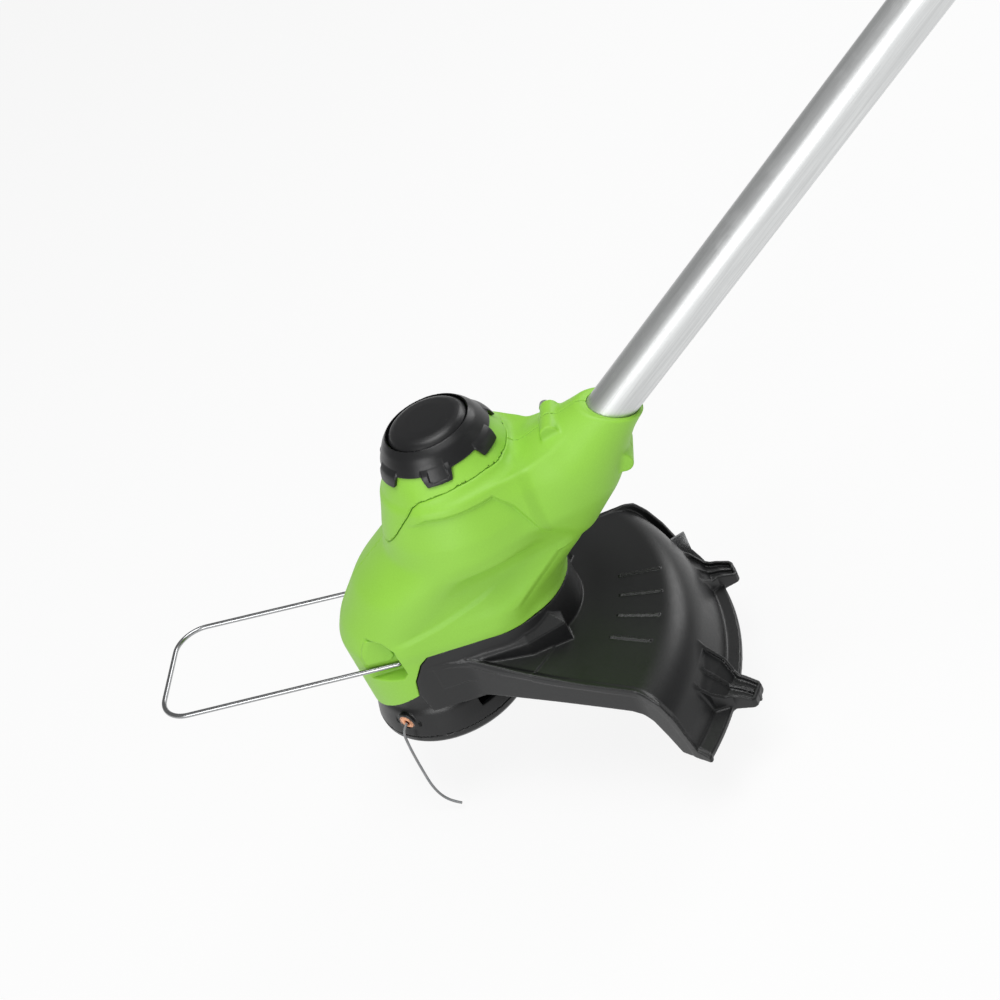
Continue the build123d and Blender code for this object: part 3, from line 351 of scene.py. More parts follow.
def bent_path(corners: Sequence[Vector], radii: Sequence[float], steps: int = 12) -> list[Vector]:
    """A path of straight runs joined by arcs, all in metres."""
    path = [corners[0]]
    for before, corner, after, radius in zip(corners, corners[1:], corners[2:], radii):
        a, b = (before - corner).normalized(), (after - corner).normalized()
        half = a.angle(b) / 2
        centre = corner + (a + b).normalized() * radius / math.sin(half)
        start, end = corner + a * radius / math.tan(half), corner + b * radius / math.tan(half)
        u, w = start - centre, end - centre
        sweep = u.angle(w)
        for k in range(steps + 1):
            f = k / steps
            path.append(centre + (u * math.sin((1 - f) * sweep) + w * math.sin(f * sweep)) / math.sin(sweep))
    return [*path, corners[-1]]


# ---------------------------------------------------------------- finishes
class NodeBench:
    """Adds nodes to one node tree and links them."""

    def __init__(self, tree: bpy.types.NodeTree) -> None:
        """Starts on an emptied tree."""
        self.tree = tree
        tree.nodes.clear()

    def add(self, kind: str, inputs: dict | None = None, **settings) -> bpy.types.Node:
        """One node of a kind.

        Args:
            kind: the node's type name without its prefix.
            inputs: values or sockets by input name or number.
            settings: properties of the node.

        Returns:
            The node.
        """
        node = self.tree.nodes.new("ShaderNode" + kind)
        for key, value in settings.items():
            setattr(node, key, value)
        for key, value in (inputs or {}).items():
            socket = node.inputs[key]
            if isinstance(value, bpy.types.NodeSocket):
                self.tree.links.new(value, socket)
            else:
                socket.default_value = value
        return node

    def maths(self, operation: str, *values) -> bpy.types.NodeSocket:
        """The result of a maths node."""
        return self.add("Math", dict(enumerate(values)), operation=operation).outputs[0]

    def shift(self, value: bpy.types.NodeSocket, low: float, high: float, start: float = 0.0,
              end: float = 1.0) -> bpy.types.NodeSocket:
        """A value mapped from one range onto another."""
        return self.add("MapRange", {0: value, 1: start, 2: end, 3: low, 4: high}).outputs[0]

    def mix(self, factor, first, second) -> bpy.types.NodeSocket:
        """A mix of two colours."""
        node = self.add("Mix", data_type="RGBA")
        for socket, value in ((node.inputs[0], factor), (node.inputs[6], first), (node.inputs[7], second)):
            if isinstance(value, bpy.types.NodeSocket):
                self.tree.links.new(value, socket)
            else:
                socket.default_value = value
        return node.outputs[2]


def new_group(name: str, inputs: dict[str, tuple[str, float | None]], outputs: Sequence[str]) -> bpy.types.NodeTree:
    """An empty node group with named sockets.

    Args:
        name: the group's name.
        inputs: socket type and default by name.
        outputs: names of its value outputs.

    Returns:
        The group.
    """
    group = bpy.data.node_groups.new(name, "ShaderNodeTree")
    for label, (kind, default) in inputs.items():
        socket = group.interface.new_socket(label, in_out="INPUT", socket_type=kind)
        if default is not None:
            socket.default_value = default
    for label in outputs:
        group.interface.new_socket(label, in_out="OUTPUT", socket_type="NodeSocketFloat")
    return group


class Effects:
    """Surface effects shared by several finishes, each built once as a node group."""

    def __init__(self) -> None:
        """Builds the groups."""
        self.grain = self.build_grain()
        self.clouds = self.build_clouds()
        self.lines = self.build_lines()
        # the mask for painted highlights on edges
        self.painted_glint = self.build_painted_highlight()

    @staticmethod
    def build_grain() -> bpy.types.NodeTree:
        """Fine eroded grain of a moulding tool: a height and a mask of its low spots, used for painted shade there and
        for roughness.
        """
        group = new_group("moulding_grain", {"Vector": ("NodeSocketVector", None), "Size": ("NodeSocketFloat", 1.0)},
                          ["Height", "Low"])
        bench = NodeBench(group)
        given = bench.tree.nodes.new("NodeGroupInput")
        result = bench.tree.nodes.new("NodeGroupOutput")
        scale = bench.maths("DIVIDE", 1000.0, given.outputs["Size"])
        coarse = bench.add("TexNoise", {"Vector": given.outputs["Vector"], "Scale": scale, "Detail": 2.0,
                                        "Roughness": 0.6})
        pits = bench.add("TexVoronoi", {"Vector": given.outputs["Vector"], "Scale": scale}, feature="SMOOTH_F1")
        height = bench.maths("ADD", coarse.outputs["Fac"], bench.maths("MULTIPLY", pits.outputs["Distance"], 0.5))
        bench.tree.links.new(height, result.inputs["Height"])
        bench.tree.links.new(bench.shift(height, 1.0, 0.0, 0.5, 0.95), result.inputs["Low"])
        return group

    @staticmethod
    def build_clouds() -> bpy.types.NodeTree:
        """Slow changes of tone and gloss over a part, from handling."""
        group = new_group("handled_tone", {"Vector": ("NodeSocketVector", None), "Size": ("NodeSocketFloat", 40.0)},
                          ["Tone", "Smudge"])
        bench = NodeBench(group)
        given = bench.tree.nodes.new("NodeGroupInput")
        result = bench.tree.nodes.new("NodeGroupOutput")
        scale = bench.maths("DIVIDE", 1000.0, given.outputs["Size"])
        slow = bench.add("TexNoise", {"Vector": given.outputs["Vector"], "Scale": scale, "Detail": 3.0})
        smear = bench.add("TexNoise", {"Vector": given.outputs["Vector"], "Scale": bench.maths("MULTIPLY", scale, 3.7),
                                       "Detail": 5.0, "Roughness": 0.65, "Distortion": 0.8})
        bench.tree.links.new(bench.shift(slow.outputs["Fac"], 0.0, 1.0, 0.3, 0.7), result.inputs["Tone"])
        bench.tree.links.new(bench.shift(smear.outputs["Fac"], 0.0, 1.0, 0.52, 0.75), result.inputs["Smudge"])
        return group

    @staticmethod
    def build_lines() -> bpy.types.NodeTree:
        """Fine lines drawn along the shaft, as on drawn tube: a height and a streak mask."""
        group = new_group("drawn_lines", {"Vector": ("NodeSocketVector", None), "Width": ("NodeSocketFloat", 0.4)},
                          ["Height", "Streak"])
        bench = NodeBench(group)
        given = bench.tree.nodes.new("NodeGroupInput")
        result = bench.tree.nodes.new("NodeGroupOutput")
        turned = bench.add("VectorRotate", {"Vector": given.outputs["Vector"], "Angle": SLOPE},
                           rotation_type="Y_AXIS")
        stretched = bench.add("VectorMath", {0: turned.outputs[0], 1: (0.02, 1.0, 1.0)}, operation="MULTIPLY")
        scale = bench.maths("DIVIDE", 1000.0, given.outputs["Width"])
        fine = bench.add("TexNoise", {"Vector": stretched.outputs[0], "Scale": scale, "Detail": 3.0,
                                      "Roughness": 0.7})
        wide = bench.add("TexNoise", {"Vector": stretched.outputs[0], "Scale": bench.maths("MULTIPLY", scale, 0.22),
                                      "Detail": 2.0})
        both = bench.maths("ADD", bench.maths("MULTIPLY", fine.outputs["Fac"], 0.6),
                           bench.maths("MULTIPLY", wide.outputs["Fac"], 0.4))
        bench.tree.links.new(both, result.inputs["Height"])
        bench.tree.links.new(bench.shift(both, 0.0, 1.0, 0.4, 0.62), result.inputs["Streak"])
        return group

    @staticmethod
    def build_painted_highlight() -> bpy.types.NodeTree:
        """Painted highlights on outer edges, where the surface is most curved, broken up by noise."""
        group = new_group("painted_edge_highlight", {"Vector": ("NodeSocketVector", None), "Size": ("NodeSocketFloat", 3.0)},
                          ["Rubbed"])
        bench = NodeBench(group)
        given = bench.tree.nodes.new("NodeGroupInput")
        result = bench.tree.nodes.new("NodeGroupOutput")
        # Painted highlight: strong where the surface curves most, on outer edges.
        point = bench.add("NewGeometry").outputs["Pointiness"]
        edge = bench.shift(point, 0.0, 1.0, 0.53, 0.62)
        patches = bench.add("TexNoise", {"Vector": given.outputs["Vector"], "Detail": 4.0,
                                         "Scale": bench.maths("DIVIDE", 1000.0, given.outputs["Size"])})
        broken = bench.shift(patches.outputs["Fac"], 0.25, 1.0, 0.4, 0.65)
        bench.tree.links.new(bench.maths("MULTIPLY", edge, broken), result.inputs["Rubbed"])
        return group


EFFECTS = Effects()


def use_group(bench: NodeBench, group: bpy.types.NodeTree, **values) -> bpy.types.Node:
    """A group placed in a material, with its own values."""
    node = bench.tree.nodes.new("ShaderNodeGroup")
    node.node_tree = group
    for key, value in values.items():
        if isinstance(value, bpy.types.NodeSocket):
            bench.tree.links.new(value, node.inputs[key])
        else:
            node.inputs[key].default_value = value
    return node


def start_material(name: str) -> tuple[bpy.types.Material, NodeBench, bpy.types.Node, bpy.types.NodeSocket]:
    """A material with a Principled shader, its bench, and the object's own coordinates."""
    material = bpy.data.materials.new(name)
    material.use_nodes = True
    bench = NodeBench(material.node_tree)
    shader = bench.add("BsdfPrincipled")
    output = bench.add("OutputMaterial")
    bench.tree.links.new(shader.outputs[0], output.inputs[0])
    place = bench.add("TexCoord").outputs["Object"]
    return material, bench, shader, place


def rgba(colour: Sequence[float], gain: float = 1.0) -> tuple[float, float, float, float]:
    """A colour with full alpha, made lighter or darker."""
    return (colour[0] * gain, colour[1] * gain, colour[2] * gain, 1.0)


@dataclass(frozen=True)
class MouldedPlastic:
    """Moulded plastic with an eroded grain whose low spots carry painted shade, faint handling marks and painted
    highlights on its edges.
    """

    name: str
    colour: tuple[float, float, float]
    roughness: float = 0.45
    grain: float = 0.7
    depth: float = 0.05
    tone: float = 0.06
    # strength of the painted highlight on edges
    glint_strength: float = 0.1
    specular: float = 0.5
    coat: float = 0.0

    def build(self) -> bpy.types.Material:
        """Makes the material."""
        material, bench, shader, place = start_material(self.name)
        grain = use_group(bench, EFFECTS.grain, Vector=place, Size=self.grain)
        clouds = use_group(bench, EFFECTS.clouds, Vector=place, Size=45.0)
        painted_glint = use_group(bench, EFFECTS.painted_glint, Vector=place, Size=4.0)
        body = bench.mix(clouds.outputs["Tone"], rgba(self.colour, 1 - self.tone), rgba(self.colour, 1 + self.tone))
        # Painted shade: the grain's low spots darkened.
        low = bench.mix(bench.maths("MULTIPLY", grain.outputs["Low"], 0.25), body, rgba(self.colour, 0.8))
        # Painted highlight: edges take a lighter copy of the colour.
        pale = tuple(min(1.0, c * 1.25 + 0.03) for c in self.colour)
        skin_colour = bench.mix(bench.maths("MULTIPLY", painted_glint.outputs["Rubbed"], self.glint_strength * 4), low, rgba(pale))
        bench.tree.links.new(skin_colour, shader.inputs["Base Color"])
        gloss = bench.maths("ADD", bench.shift(clouds.outputs["Smudge"], self.roughness, self.roughness - 0.06),
                            bench.maths("MULTIPLY", grain.outputs["Low"], 0.08))
        bench.tree.links.new(gloss, shader.inputs["Roughness"])
        bump = bench.add("Bump", {"Height": grain.outputs["Height"], "Strength": 0.35, "Distance": self.depth * MM})
        bench.tree.links.new(bump.outputs[0], shader.inputs["Normal"])
        shader.inputs["Specular IOR Level"].default_value = self.specular
        shader.inputs["Coat Weight"].default_value = self.coat
        shader.inputs["Coat Roughness"].default_value = 0.3
        return material


@dataclass(frozen=True)
class DrawnTube:
    """Tube with fine lines along it, either bare anodised metal or painted."""

    name: str
    colour: tuple[float, float, float]
    metal: float = 1.0
    roughness: float = 0.32
    contrast: float = 0.18

    def build(self) -> bpy.types.Material:
        """Makes the material."""
        material, bench, shader, place = start_material(self.name)
        lines = use_group(bench, EFFECTS.lines, Vector=place, Width=0.9)
        clouds = use_group(bench, EFFECTS.clouds, Vector=place, Size=60.0)
        grain = use_group(bench, EFFECTS.grain, Vector=place, Size=0.8)
        streaked = bench.mix(lines.outputs["Streak"], rgba(self.colour, 1 - self.contrast),
                             rgba(self.colour, 1 + self.contrast * 0.6))
        toned = bench.mix(bench.maths("MULTIPLY", clouds.outputs["Tone"], 0.3), streaked, rgba(self.colour, 0.92))
        bench.tree.links.new(toned, shader.inputs["Base Color"])
        gloss = bench.maths("ADD", bench.shift(lines.outputs["Streak"], self.roughness + 0.08, self.roughness - 0.05),
                            bench.maths("MULTIPLY", clouds.outputs["Smudge"], 0.06))
        bench.tree.links.new(gloss, shader.inputs["Roughness"])
        relief = bench.maths("ADD", lines.outputs["Height"], bench.maths("MULTIPLY", grain.outputs["Height"], 0.4))
        bump = bench.add("Bump", {"Height": relief, "Strength": 0.3, "Distance": 0.05 * MM})
        bench.tree.links.new(bump.outputs[0], shader.inputs["Normal"])
        shader.inputs["Metallic"].default_value = self.metal
        return material


@dataclass(frozen=True)
class WorkedMetal:
    """Solid metal: plated wire, zinc-plated fasteners, ground steel, pressed copper, cast plate."""

    name: str
    colour: tuple[float, float, float]
    roughness: float = 0.25
    tarnish: float = 0.2
    scratch: float = 0.02

    def build(self) -> bpy.types.Material:
        """Makes the material."""
        material, bench, shader, place = start_material(self.name)
        grain = use_group(bench, EFFECTS.grain, Vector=place, Size=0.5)
        clouds = use_group(bench, EFFECTS.clouds, Vector=place, Size=9.0)
        painted_glint = use_group(bench, EFFECTS.painted_glint, Vector=place, Size=1.5)
        dull = bench.mix(bench.maths("MULTIPLY", clouds.outputs["Smudge"], self.tarnish * 2), rgba(self.colour),
                         rgba(self.colour, 0.6))
        # Painted highlight: edges take a lighter copy of the metal's colour.
        glinted = bench.mix(bench.maths("MULTIPLY", painted_glint.outputs["Rubbed"], 0.5), dull,
                         rgba([min(1.0, c * 1.15) for c in self.colour]))
        bench.tree.links.new(glinted, shader.inputs["Base Color"])
        gloss = bench.maths("ADD", bench.shift(clouds.outputs["Tone"], self.roughness - 0.04, self.roughness + 0.06),
                            bench.maths("MULTIPLY", grain.outputs["Low"], 0.05))
        bench.tree.links.new(gloss, shader.inputs["Roughness"])
        bump = bench.add("Bump", {"Height": grain.outputs["Height"], "Strength": 0.25,
                                  "Distance": self.scratch * MM})
        bench.tree.links.new(bump.outputs[0], shader.inputs["Normal"])
        shader.inputs["Metallic"].default_value = 1.0
        return material


@dataclass(frozen=True)
class SoftSkin:
    """Rubber, foam and cable jackets: dull, slightly dusty, with a fine texture whose low spots carry painted shade."""

    name: str
    colour: tuple[float, float, float]
    roughness: float = 0.7
    grain: float = 0.9
    depth: float = 0.12

    def build(self) -> bpy.types.Material:
        """Makes the material."""
        material, bench, shader, place = start_material(self.name)
        grain = use_group(bench, EFFECTS.grain, Vector=place, Size=self.grain)
        clouds = use_group(bench, EFFECTS.clouds, Vector=place, Size=20.0)
        dusty = bench.mix(bench.maths("MULTIPLY", clouds.outputs["Smudge"], 0.35), rgba(self.colour),
                          rgba([c + 0.03 for c in self.colour]))
        # Painted shade: the grain's low spots darkened.
        shaded = bench.mix(bench.maths("MULTIPLY", grain.outputs["Low"], 0.5), dusty, rgba(self.colour, 0.5))
        bench.tree.links.new(shaded, shader.inputs["Base Color"])
        bench.tree.links.new(bench.shift(clouds.outputs["Tone"], self.roughness - 0.05, self.roughness + 0.08),
                             shader.inputs["Roughness"])
        bump = bench.add("Bump", {"Height": grain.outputs["Height"], "Strength": 0.5, "Distance": self.depth * MM})
        bench.tree.links.new(bump.outputs[0], shader.inputs["Normal"])
        shader.inputs["Sheen Weight"].default_value = 0.15
        shader.inputs["Sheen Roughness"].default_value = 0.5
        return material


@dataclass(frozen=True)
class ExtrudedNylon:
    """Cutting line and nylon gears: slightly clear, with a fine grain and slow changes of tone."""

    name: str
    colour: tuple[float, float, float]
    roughness: float = 0.35

    def build(self) -> bpy.types.Material:
        """Makes the material."""
        material, bench, shader, place = start_material(self.name)
        clouds = use_group(bench, EFFECTS.clouds, Vector=place, Size=6.0)
        grain = use_group(bench, EFFECTS.grain, Vector=place, Size=0.4)
        toned = bench.mix(clouds.outputs["Tone"], rgba(self.colour, 0.85), rgba(self.colour, 1.15))
        bench.tree.links.new(toned, shader.inputs["Base Color"])
        bench.tree.links.new(bench.shift(clouds.outputs["Smudge"], self.roughness, self.roughness + 0.15),
                             shader.inputs["Roughness"])
        bump = bench.add("Bump", {"Height": grain.outputs["Height"], "Strength": 0.2, "Distance": 0.03 * MM})
        bench.tree.links.new(bump.outputs[0], shader.inputs["Normal"])
        shader.inputs["Subsurface Weight"].default_value = 0.08
        shader.inputs["Subsurface Scale"].default_value = 0.001
        return material


class Slot(Enum):
    """The record's material slots."""

    TUBE = "anodised_tube"
    UPPER_TUBE = "black_tube"
    GREEN = "green_shell"
    BLACK = "black_plastic"
    GUARD = "guard_plastic"
    CAST = "cast_plate"
    ZINC = "zinc_steel"
    MAGNET = "magnet"
    BRONZE = "bronze"
    STEEL = "bright_steel"
    NYLON_GEAR = "nylon_gear"
    COPPER = "copper"
    LINE = "line_nylon"
    WIRE = "plated_wire"
    CABLE = "cable_jacket"
    LEVER = "lever_plastic"
    GRIP = "soft_grip"
    HANDLE = "handle_plastic"
    TRIGGER = "trigger_plastic"
    BOARD = "circuit_board"
    BATTERY = "battery_plastic"
    CELLS = "cell_wrap"


GREEN = (0.262, 0.565, 0.048)
BLACK = (0.0085, 0.0087, 0.0092)
FINISHES = {
    Slot.TUBE: DrawnTube("anodised_tube_finish", (0.70, 0.71, 0.71), roughness=0.44, contrast=0.1),
    Slot.UPPER_TUBE: DrawnTube("upper_tube_paint", (0.022, 0.022, 0.024), 0.0, 0.42, 0.1),
    Slot.GREEN: MouldedPlastic("green_shell_finish", GREEN, 0.47, tone=0.03, glint_strength=0.03),
    Slot.BLACK: MouldedPlastic("black_plastic_finish", BLACK, 0.32, glint_strength=0.1, specular=0.42),
    Slot.GUARD: MouldedPlastic("guard_plastic_finish", (0.0088, 0.0091, 0.0096), 0.34, grain=0.9, glint_strength=0.12, specular=0.42),
    Slot.CAST: WorkedMetal("cast_plate_finish", (0.55, 0.56, 0.57), 0.5, 0.3, 0.08),
    Slot.ZINC: WorkedMetal("zinc_steel_finish", (0.62, 0.62, 0.6), 0.34),
    Slot.MAGNET: WorkedMetal("magnet_finish", (0.12, 0.12, 0.13), 0.55, 0.3, 0.05),
    Slot.BRONZE: WorkedMetal("bronze_finish", (0.62, 0.38, 0.17), 0.35),
    Slot.STEEL: WorkedMetal("bright_steel_finish", (0.66, 0.67, 0.68), 0.22),
    Slot.NYLON_GEAR: ExtrudedNylon("nylon_gear_finish", (0.72, 0.7, 0.62), 0.4),
    Slot.COPPER: WorkedMetal("copper_finish", (0.85, 0.42, 0.24), 0.22, 0.25),
    Slot.LINE: ExtrudedNylon("line_nylon_finish", (0.2, 0.205, 0.21), 0.38),
    Slot.WIRE: WorkedMetal("plated_wire_finish", (0.36, 0.365, 0.37), 0.2, 0.2, 0.01),
    Slot.CABLE: SoftSkin("cable_jacket_finish", (0.016, 0.016, 0.017)),
    Slot.LEVER: MouldedPlastic("lever_finish", GREEN, 0.44, tone=0.03, glint_strength=0.05),
    Slot.GRIP: SoftSkin("soft_grip_finish", (0.018, 0.018, 0.019), 0.8, 1.4, 0.3),
    Slot.HANDLE: MouldedPlastic("handle_finish", GREEN, 0.47, tone=0.03, glint_strength=0.03),
    Slot.TRIGGER: MouldedPlastic("trigger_finish", (0.014, 0.014, 0.015), 0.3, 0.5, 0.03),
    Slot.BOARD: MouldedPlastic("circuit_board_finish", (0.02, 0.15, 0.05), 0.3, 0.6, 0.04, coat=0.5),
    Slot.BATTERY: MouldedPlastic("battery_finish", (0.0145, 0.0145, 0.0155), 0.45, 1.1, 0.08),
    Slot.CELLS: MouldedPlastic("cell_wrap_finish", (0.05, 0.24, 0.48), 0.25, 0.5, 0.02, coat=0.4),
}


class Paintbox:
    """Builds each finish once, and puts it on pieces and on the frame's own nodes."""

    def __init__(self) -> None:
        """Builds every finish."""
        self.made = {slot: finish.build() for slot, finish in FINISHES.items()}

    def coat(self, piece: bpy.types.Object, slot: Slot) -> bpy.types.Object:
        """Gives a piece the finish of its slot."""
        piece.data.materials.clear()
        piece.data.materials.append(self.made[slot])
        return piece

    def coat_nodes(self) -> None:
        """Gives every node of the frame the finish of its slot."""
        for entry in frame["record"]["subparts"]:
            node = frame["nodes"][entry["node"]]
            finish = self.made[Slot(entry["material_slot"])]
            if not node.material_slots:
                node.data.materials.append(finish)
            for place in node.material_slots:
                place.material = finish


PAINT = Paintbox()


def fit(piece: bpy.types.Object, slot: Slot, body: str, *nodes: str) -> bpy.types.Object:
    """Coats a piece, sets it riding on a body, and lets it stand for nodes of the frame.

    Args:
        piece: the finished piece.
        slot: its finish.
        body: the body it moves with.
        nodes: the frame's nodes that it stands for.

    Returns:
        The piece.
    """
    PAINT.coat(piece, slot)
    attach(piece, body)
    if nodes:
        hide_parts(*nodes)
    LOG.info("%s rides on %s and has %d faces", piece.name, body, len(getattr(piece.data, "polygons", [])))
    return piece


# ---------------------------------------------------------------- green housing and cap
@dataclass
class HeadHousing:
    """The green housing: two shell halves, the motor's cover, and the black cap on its dome."""

    wall: float = 2.5
    pocket_floor: float = 35.4
    seam_gap: float = 0.14
    cap_tabs: int = 6
    screws: tuple = ((-33, 66.5), (26, 92), (89, 92), (102, 139))
    levels: tuple = ((14, 0, 46.8, 50, 44.5), (66, 0, 46.8, 50, 44.5), (76, 4, 45.5, 57, 43.5),
                     (98, 24, 47, 100, 26), (118, 54, 49, 118, 25), (141, 58, 43, 112, 24), (150, 58, 39.8, 105, 22))
    under_seam: tuple = ((-70, 10), (-60, 14), (-38, 21), (-6, 35), (-3.5, 46), (4, 57), (10, 61.5),
                         (120, 61.5), (120, -5), (-70, -5))
    dome_seam: tuple = ((-30, 126), (8, 125), (14, 128), (21, 134.5), (32, 146), (41, 155), (46, 157.8), (55, 159),
                        (70, 159.8), (84, 159.2), (94, 156.4), (104, 162), (104, 192), (-30, 192))
    pocket: tuple = ((-60, 47.5), (-9, 49.6), (-5.6, 52.6), (-5.6, 58), (-6.6, 70), (-12, 76), (-40, 82), (-60, 82))

    def __post_init__(self) -> None:
        """Smooths the outline's tables."""
        self.columns = [smooth_curve([(row[0], row[k]) for row in self.levels], 2.0, 0, 200) for k in range(1, 5)]
        self.tower = smooth_curve(((100, 49.3), (118, 49), (130, 47.8), (141, 43.6), (150, 40.2), (160, 35.6),
                                   (165, 33.1), (169.5, 31.3), (180, 28)), 1.4, 90, 190)
        self.neck = smooth_curve(((-80, 31), (-60, 29), (-40, 28), (-30, 25.4), (-13, 19.2), (-5, 16.6), (2, 15.7),
                                  (9, 15.1), (30, 15.0)), 2.4, -90, 40)

    def body(self, x: Array, y: Array, z: Array) -> Array:
        """The housing's outer form, with its relief, as a solid."""
        xa, ra, xb, rb = (np.interp(z, places, values) for places, values in self.columns)
        bell = meet(two_circles(x, y, xa, ra, xb, rb), z - 150.0, 3.0)
        tower = meet(np.hypot(x - MOTOR_X, y) - np.interp(z, *self.tower), z - 169.5, 0.6)
        tower = meet(tower, 108.0 - z, 6.0)
        s, t = shaft_frame(x, z)
        neck = meet(np.hypot(t, y) - np.interp(s, *self.neck), -66.0 - s, 4.0)
        form = union(union(bell, tower, 5.0), neck, 11.0)
        for bx, bz, size in ((120.6, 159.0, 5.4), (150.9, 127.0, 5.8)):
            boss = meet(np.hypot(x - bx, z - bz) - size, np.abs(y) - 12.8, 1.2)
            form = union(form, boss, 2.2)
        form = form - self.relief(x, y, z)
        mouth = (x - 141.5) * 0.447 + (z - 165.5) * 0.894
        return meet(form, mouth, 2.0)

    @staticmethod
    def relief(x: Array, y: Array, z: Array) -> Array:
        """Low steps and swells of the outer surface, outwards in millimetres."""
        side = ramp(np.abs(y), 10, 20)
        chevron = ((30, 143), (46, 148.6), (84, 147.5), (92, 138), (103, 112))
        above = np.where(z > np.interp(x, *zip(*chevron)), 1.0, -1.0) * path_distance(chevron, x, z)
        step = 2.6 * ramp(above, -1.4, 1.6) * (1 - ramp(above, 4, 22)) * ramp(x, 30, 46) * (1 - ramp(x, 98, 106))
        waist = ((-20, 66), (0, 72), (25, 77.5), (50, 84.5), (64, 89.5), (84, 97))
        over = np.where(z > np.interp(x, *zip(*waist)), 1.0, -1.0) * path_distance(waist, x, z)
        swell = 1.5 * (1 - ramp(over, -0.4, 3.6)) * ramp(z, 56, 68) * ramp(x, -12, 6) * (1 - ramp(x, 54, 74))
        rear = ((70, 74), (87, 85), (101, 94))
        behind = path_distance(rear, x, z) * np.where(z < np.interp(x, *zip(*rear)), 1.0, -1.0)
        hollow = -1.5 * ramp(behind, -1.6, 2.4) * (1 - ramp(behind, 8, 20)) * ramp(x, 66, 78) * (1 - ramp(x, 102, 112))
        return side * (step + swell + hollow)

    def shell(self, x: Array, y: Array, z: Array) -> Array:
        """The hollow housing, open at its collar."""
        form = self.body(x, y, z)
        s, t = shaft_frame(x, z)
        around = np.hypot(t, y)
        hollow = meet(form + self.wall, s + 14.0, 1.0)
        pocket = meet(outline(self.pocket, x, z), self.pocket_floor - np.abs(y), 1.2)
        ledge = meet(outline(((-34, 59.5), (-13.5, 59), (-10.6, 62), (-11.6, 71), (-16, 75.5), (-34, 79)), x, z),
                     self.pocket_floor - np.abs(y), 0.5)
        pocket = cut(pocket, meet(ledge, np.abs(y) - self.pocket_floor - 2.0, 0.5), 0.4)
        backing = meet(meet(outline(self.pocket, x, z) - 2.6, self.pocket_floor - 2.6 - np.abs(y)), form, 0.3)
        hollow = cut(hollow, backing, 0.5)
        shell = cut(cut(form, hollow, 0.6), pocket, 0.9)
        shell = cut(shell, around - 12.85, 0.7)
        return cut(shell, np.hypot(x + 9.3, z - 54.1) - 2.1, 0.3)

    def half(self, x: Array, y: Array, z: Array) -> Array:
        """The left half, below the cover's seam and above the guard's."""
        shell = cut(self.shell(x, y, z), outline(self.under_seam, x, z), 0.7)
        shell = cut(shell, outline(self.dome_seam, x, z) - self.seam_gap, 0.55)
        return meet(shell, y + 0.08, 0.5)

    def screwed_half(self, x: Array, y: Array, z: Array) -> Array:
        """The right half seen in a mirror: as the left one, with the screws' recesses."""
        shell = self.half(x, y, z)
        for bx, bz in self.screws:
            shell = cut(shell, meet(np.hypot(x - bx, z - bz) - 3.9, 19.2 - np.abs(y)), 0.5)
        return shell

    def cover(self, x: Array, y: Array, z: Array) -> Array:
        """The motor's cover over the dome."""
        form = self.body(x, y, z)
        hollow = meet(form + self.wall, z - 160.0, 1.0)
        piece = meet(cut(form, hollow, 0.6), outline(self.dome_seam, x, z) + self.seam_gap, 0.55)
        s, t = shaft_frame(x, z)
        return cut(piece, meet(np.hypot(t, y) - 12.9, -30.0 - s), 0.5)

    def cap(self, x: Array, y: Array, z: Array) -> Array:
        """The black ring round the cap, with its tabs reaching down over the dome."""
        dx = x - MOTOR_X
        around = np.hypot(dx, y)
        turn = np.degrees(np.arctan2(y, dx))
        period = 360.0 / self.cap_tabs
        arch = np.abs((turn + 85.0 + period / 2) % period - period / 2) * math.pi / 180 * 34.0
        tab = 1 - ramp(arch, 8.4, 9.8)
        plain = np.interp(z, *smooth_curve(((160, 35.6), (166, 33.8), (170, 32.3), (174, 30.2), (178.6, 27.4),
                                            (181.6, 24.6), (186, 20)), 0.7, 150, 195))
        proud = np.interp(z, *smooth_curve(((158, 37.8), (164, 35.7), (168, 34.4), (170.4, 33.3), (172.6, 31.2),
                                            (176, 27.5), (186, 10)), 0.5, 150, 195))
        outer = (around - plain - np.maximum(proud - plain, 0) * tab) * 0.86
        bottom = 164.2 + 5.4 * ramp(arch, 6.6, 9.4)
        ring = meet(outer, bottom - z, 0.6)
        under = np.interp(z, *smooth_curve(((150, 40.3), (160, 35.7), (165, 33.3), (169.4, 31.6), (170.2, 27),
                                            (171, 24.0), (190, 24.0)), 0.3, 140, 195))
        ring = cut(ring, (around - under) * 0.8, 0.4)
        ring = cut(ring, around - 23.75, 0.7)
        near = ((turn + 85.0 + 180) % 360 - 180) * math.pi / 180 * 34.0
        grip = outline(((-4.8, 167.2), (-3.4, 166.0), (4.6, 166.0), (6.0, 167.4), (6.0, 176), (-4.8, 176)), near, z)
        ring = cut(ring, meet(grip, 33.0 - around - (z - 169) * 0.55, 0.3), 0.4)
        return meet(ring, z - 182.2, 0.6)

    def disc(self, x: Array, y: Array, z: Array) -> Array:
        """The cap's round top, standing in the ring."""
        around = np.hypot(x - MOTOR_X, y)
        places, values = smooth_curve(((0, 185.4), (12, 185.2), (17.5, 184.6), (20.8, 183.2), (23.2, 180.2), (26, 176)),
                                      0.7, 0, 30)
        form = meet((z - np.interp(around, places, values)) * 0.85, around - 23.1, 0.5)
        return meet(form, 170.0 - z, 0.5)

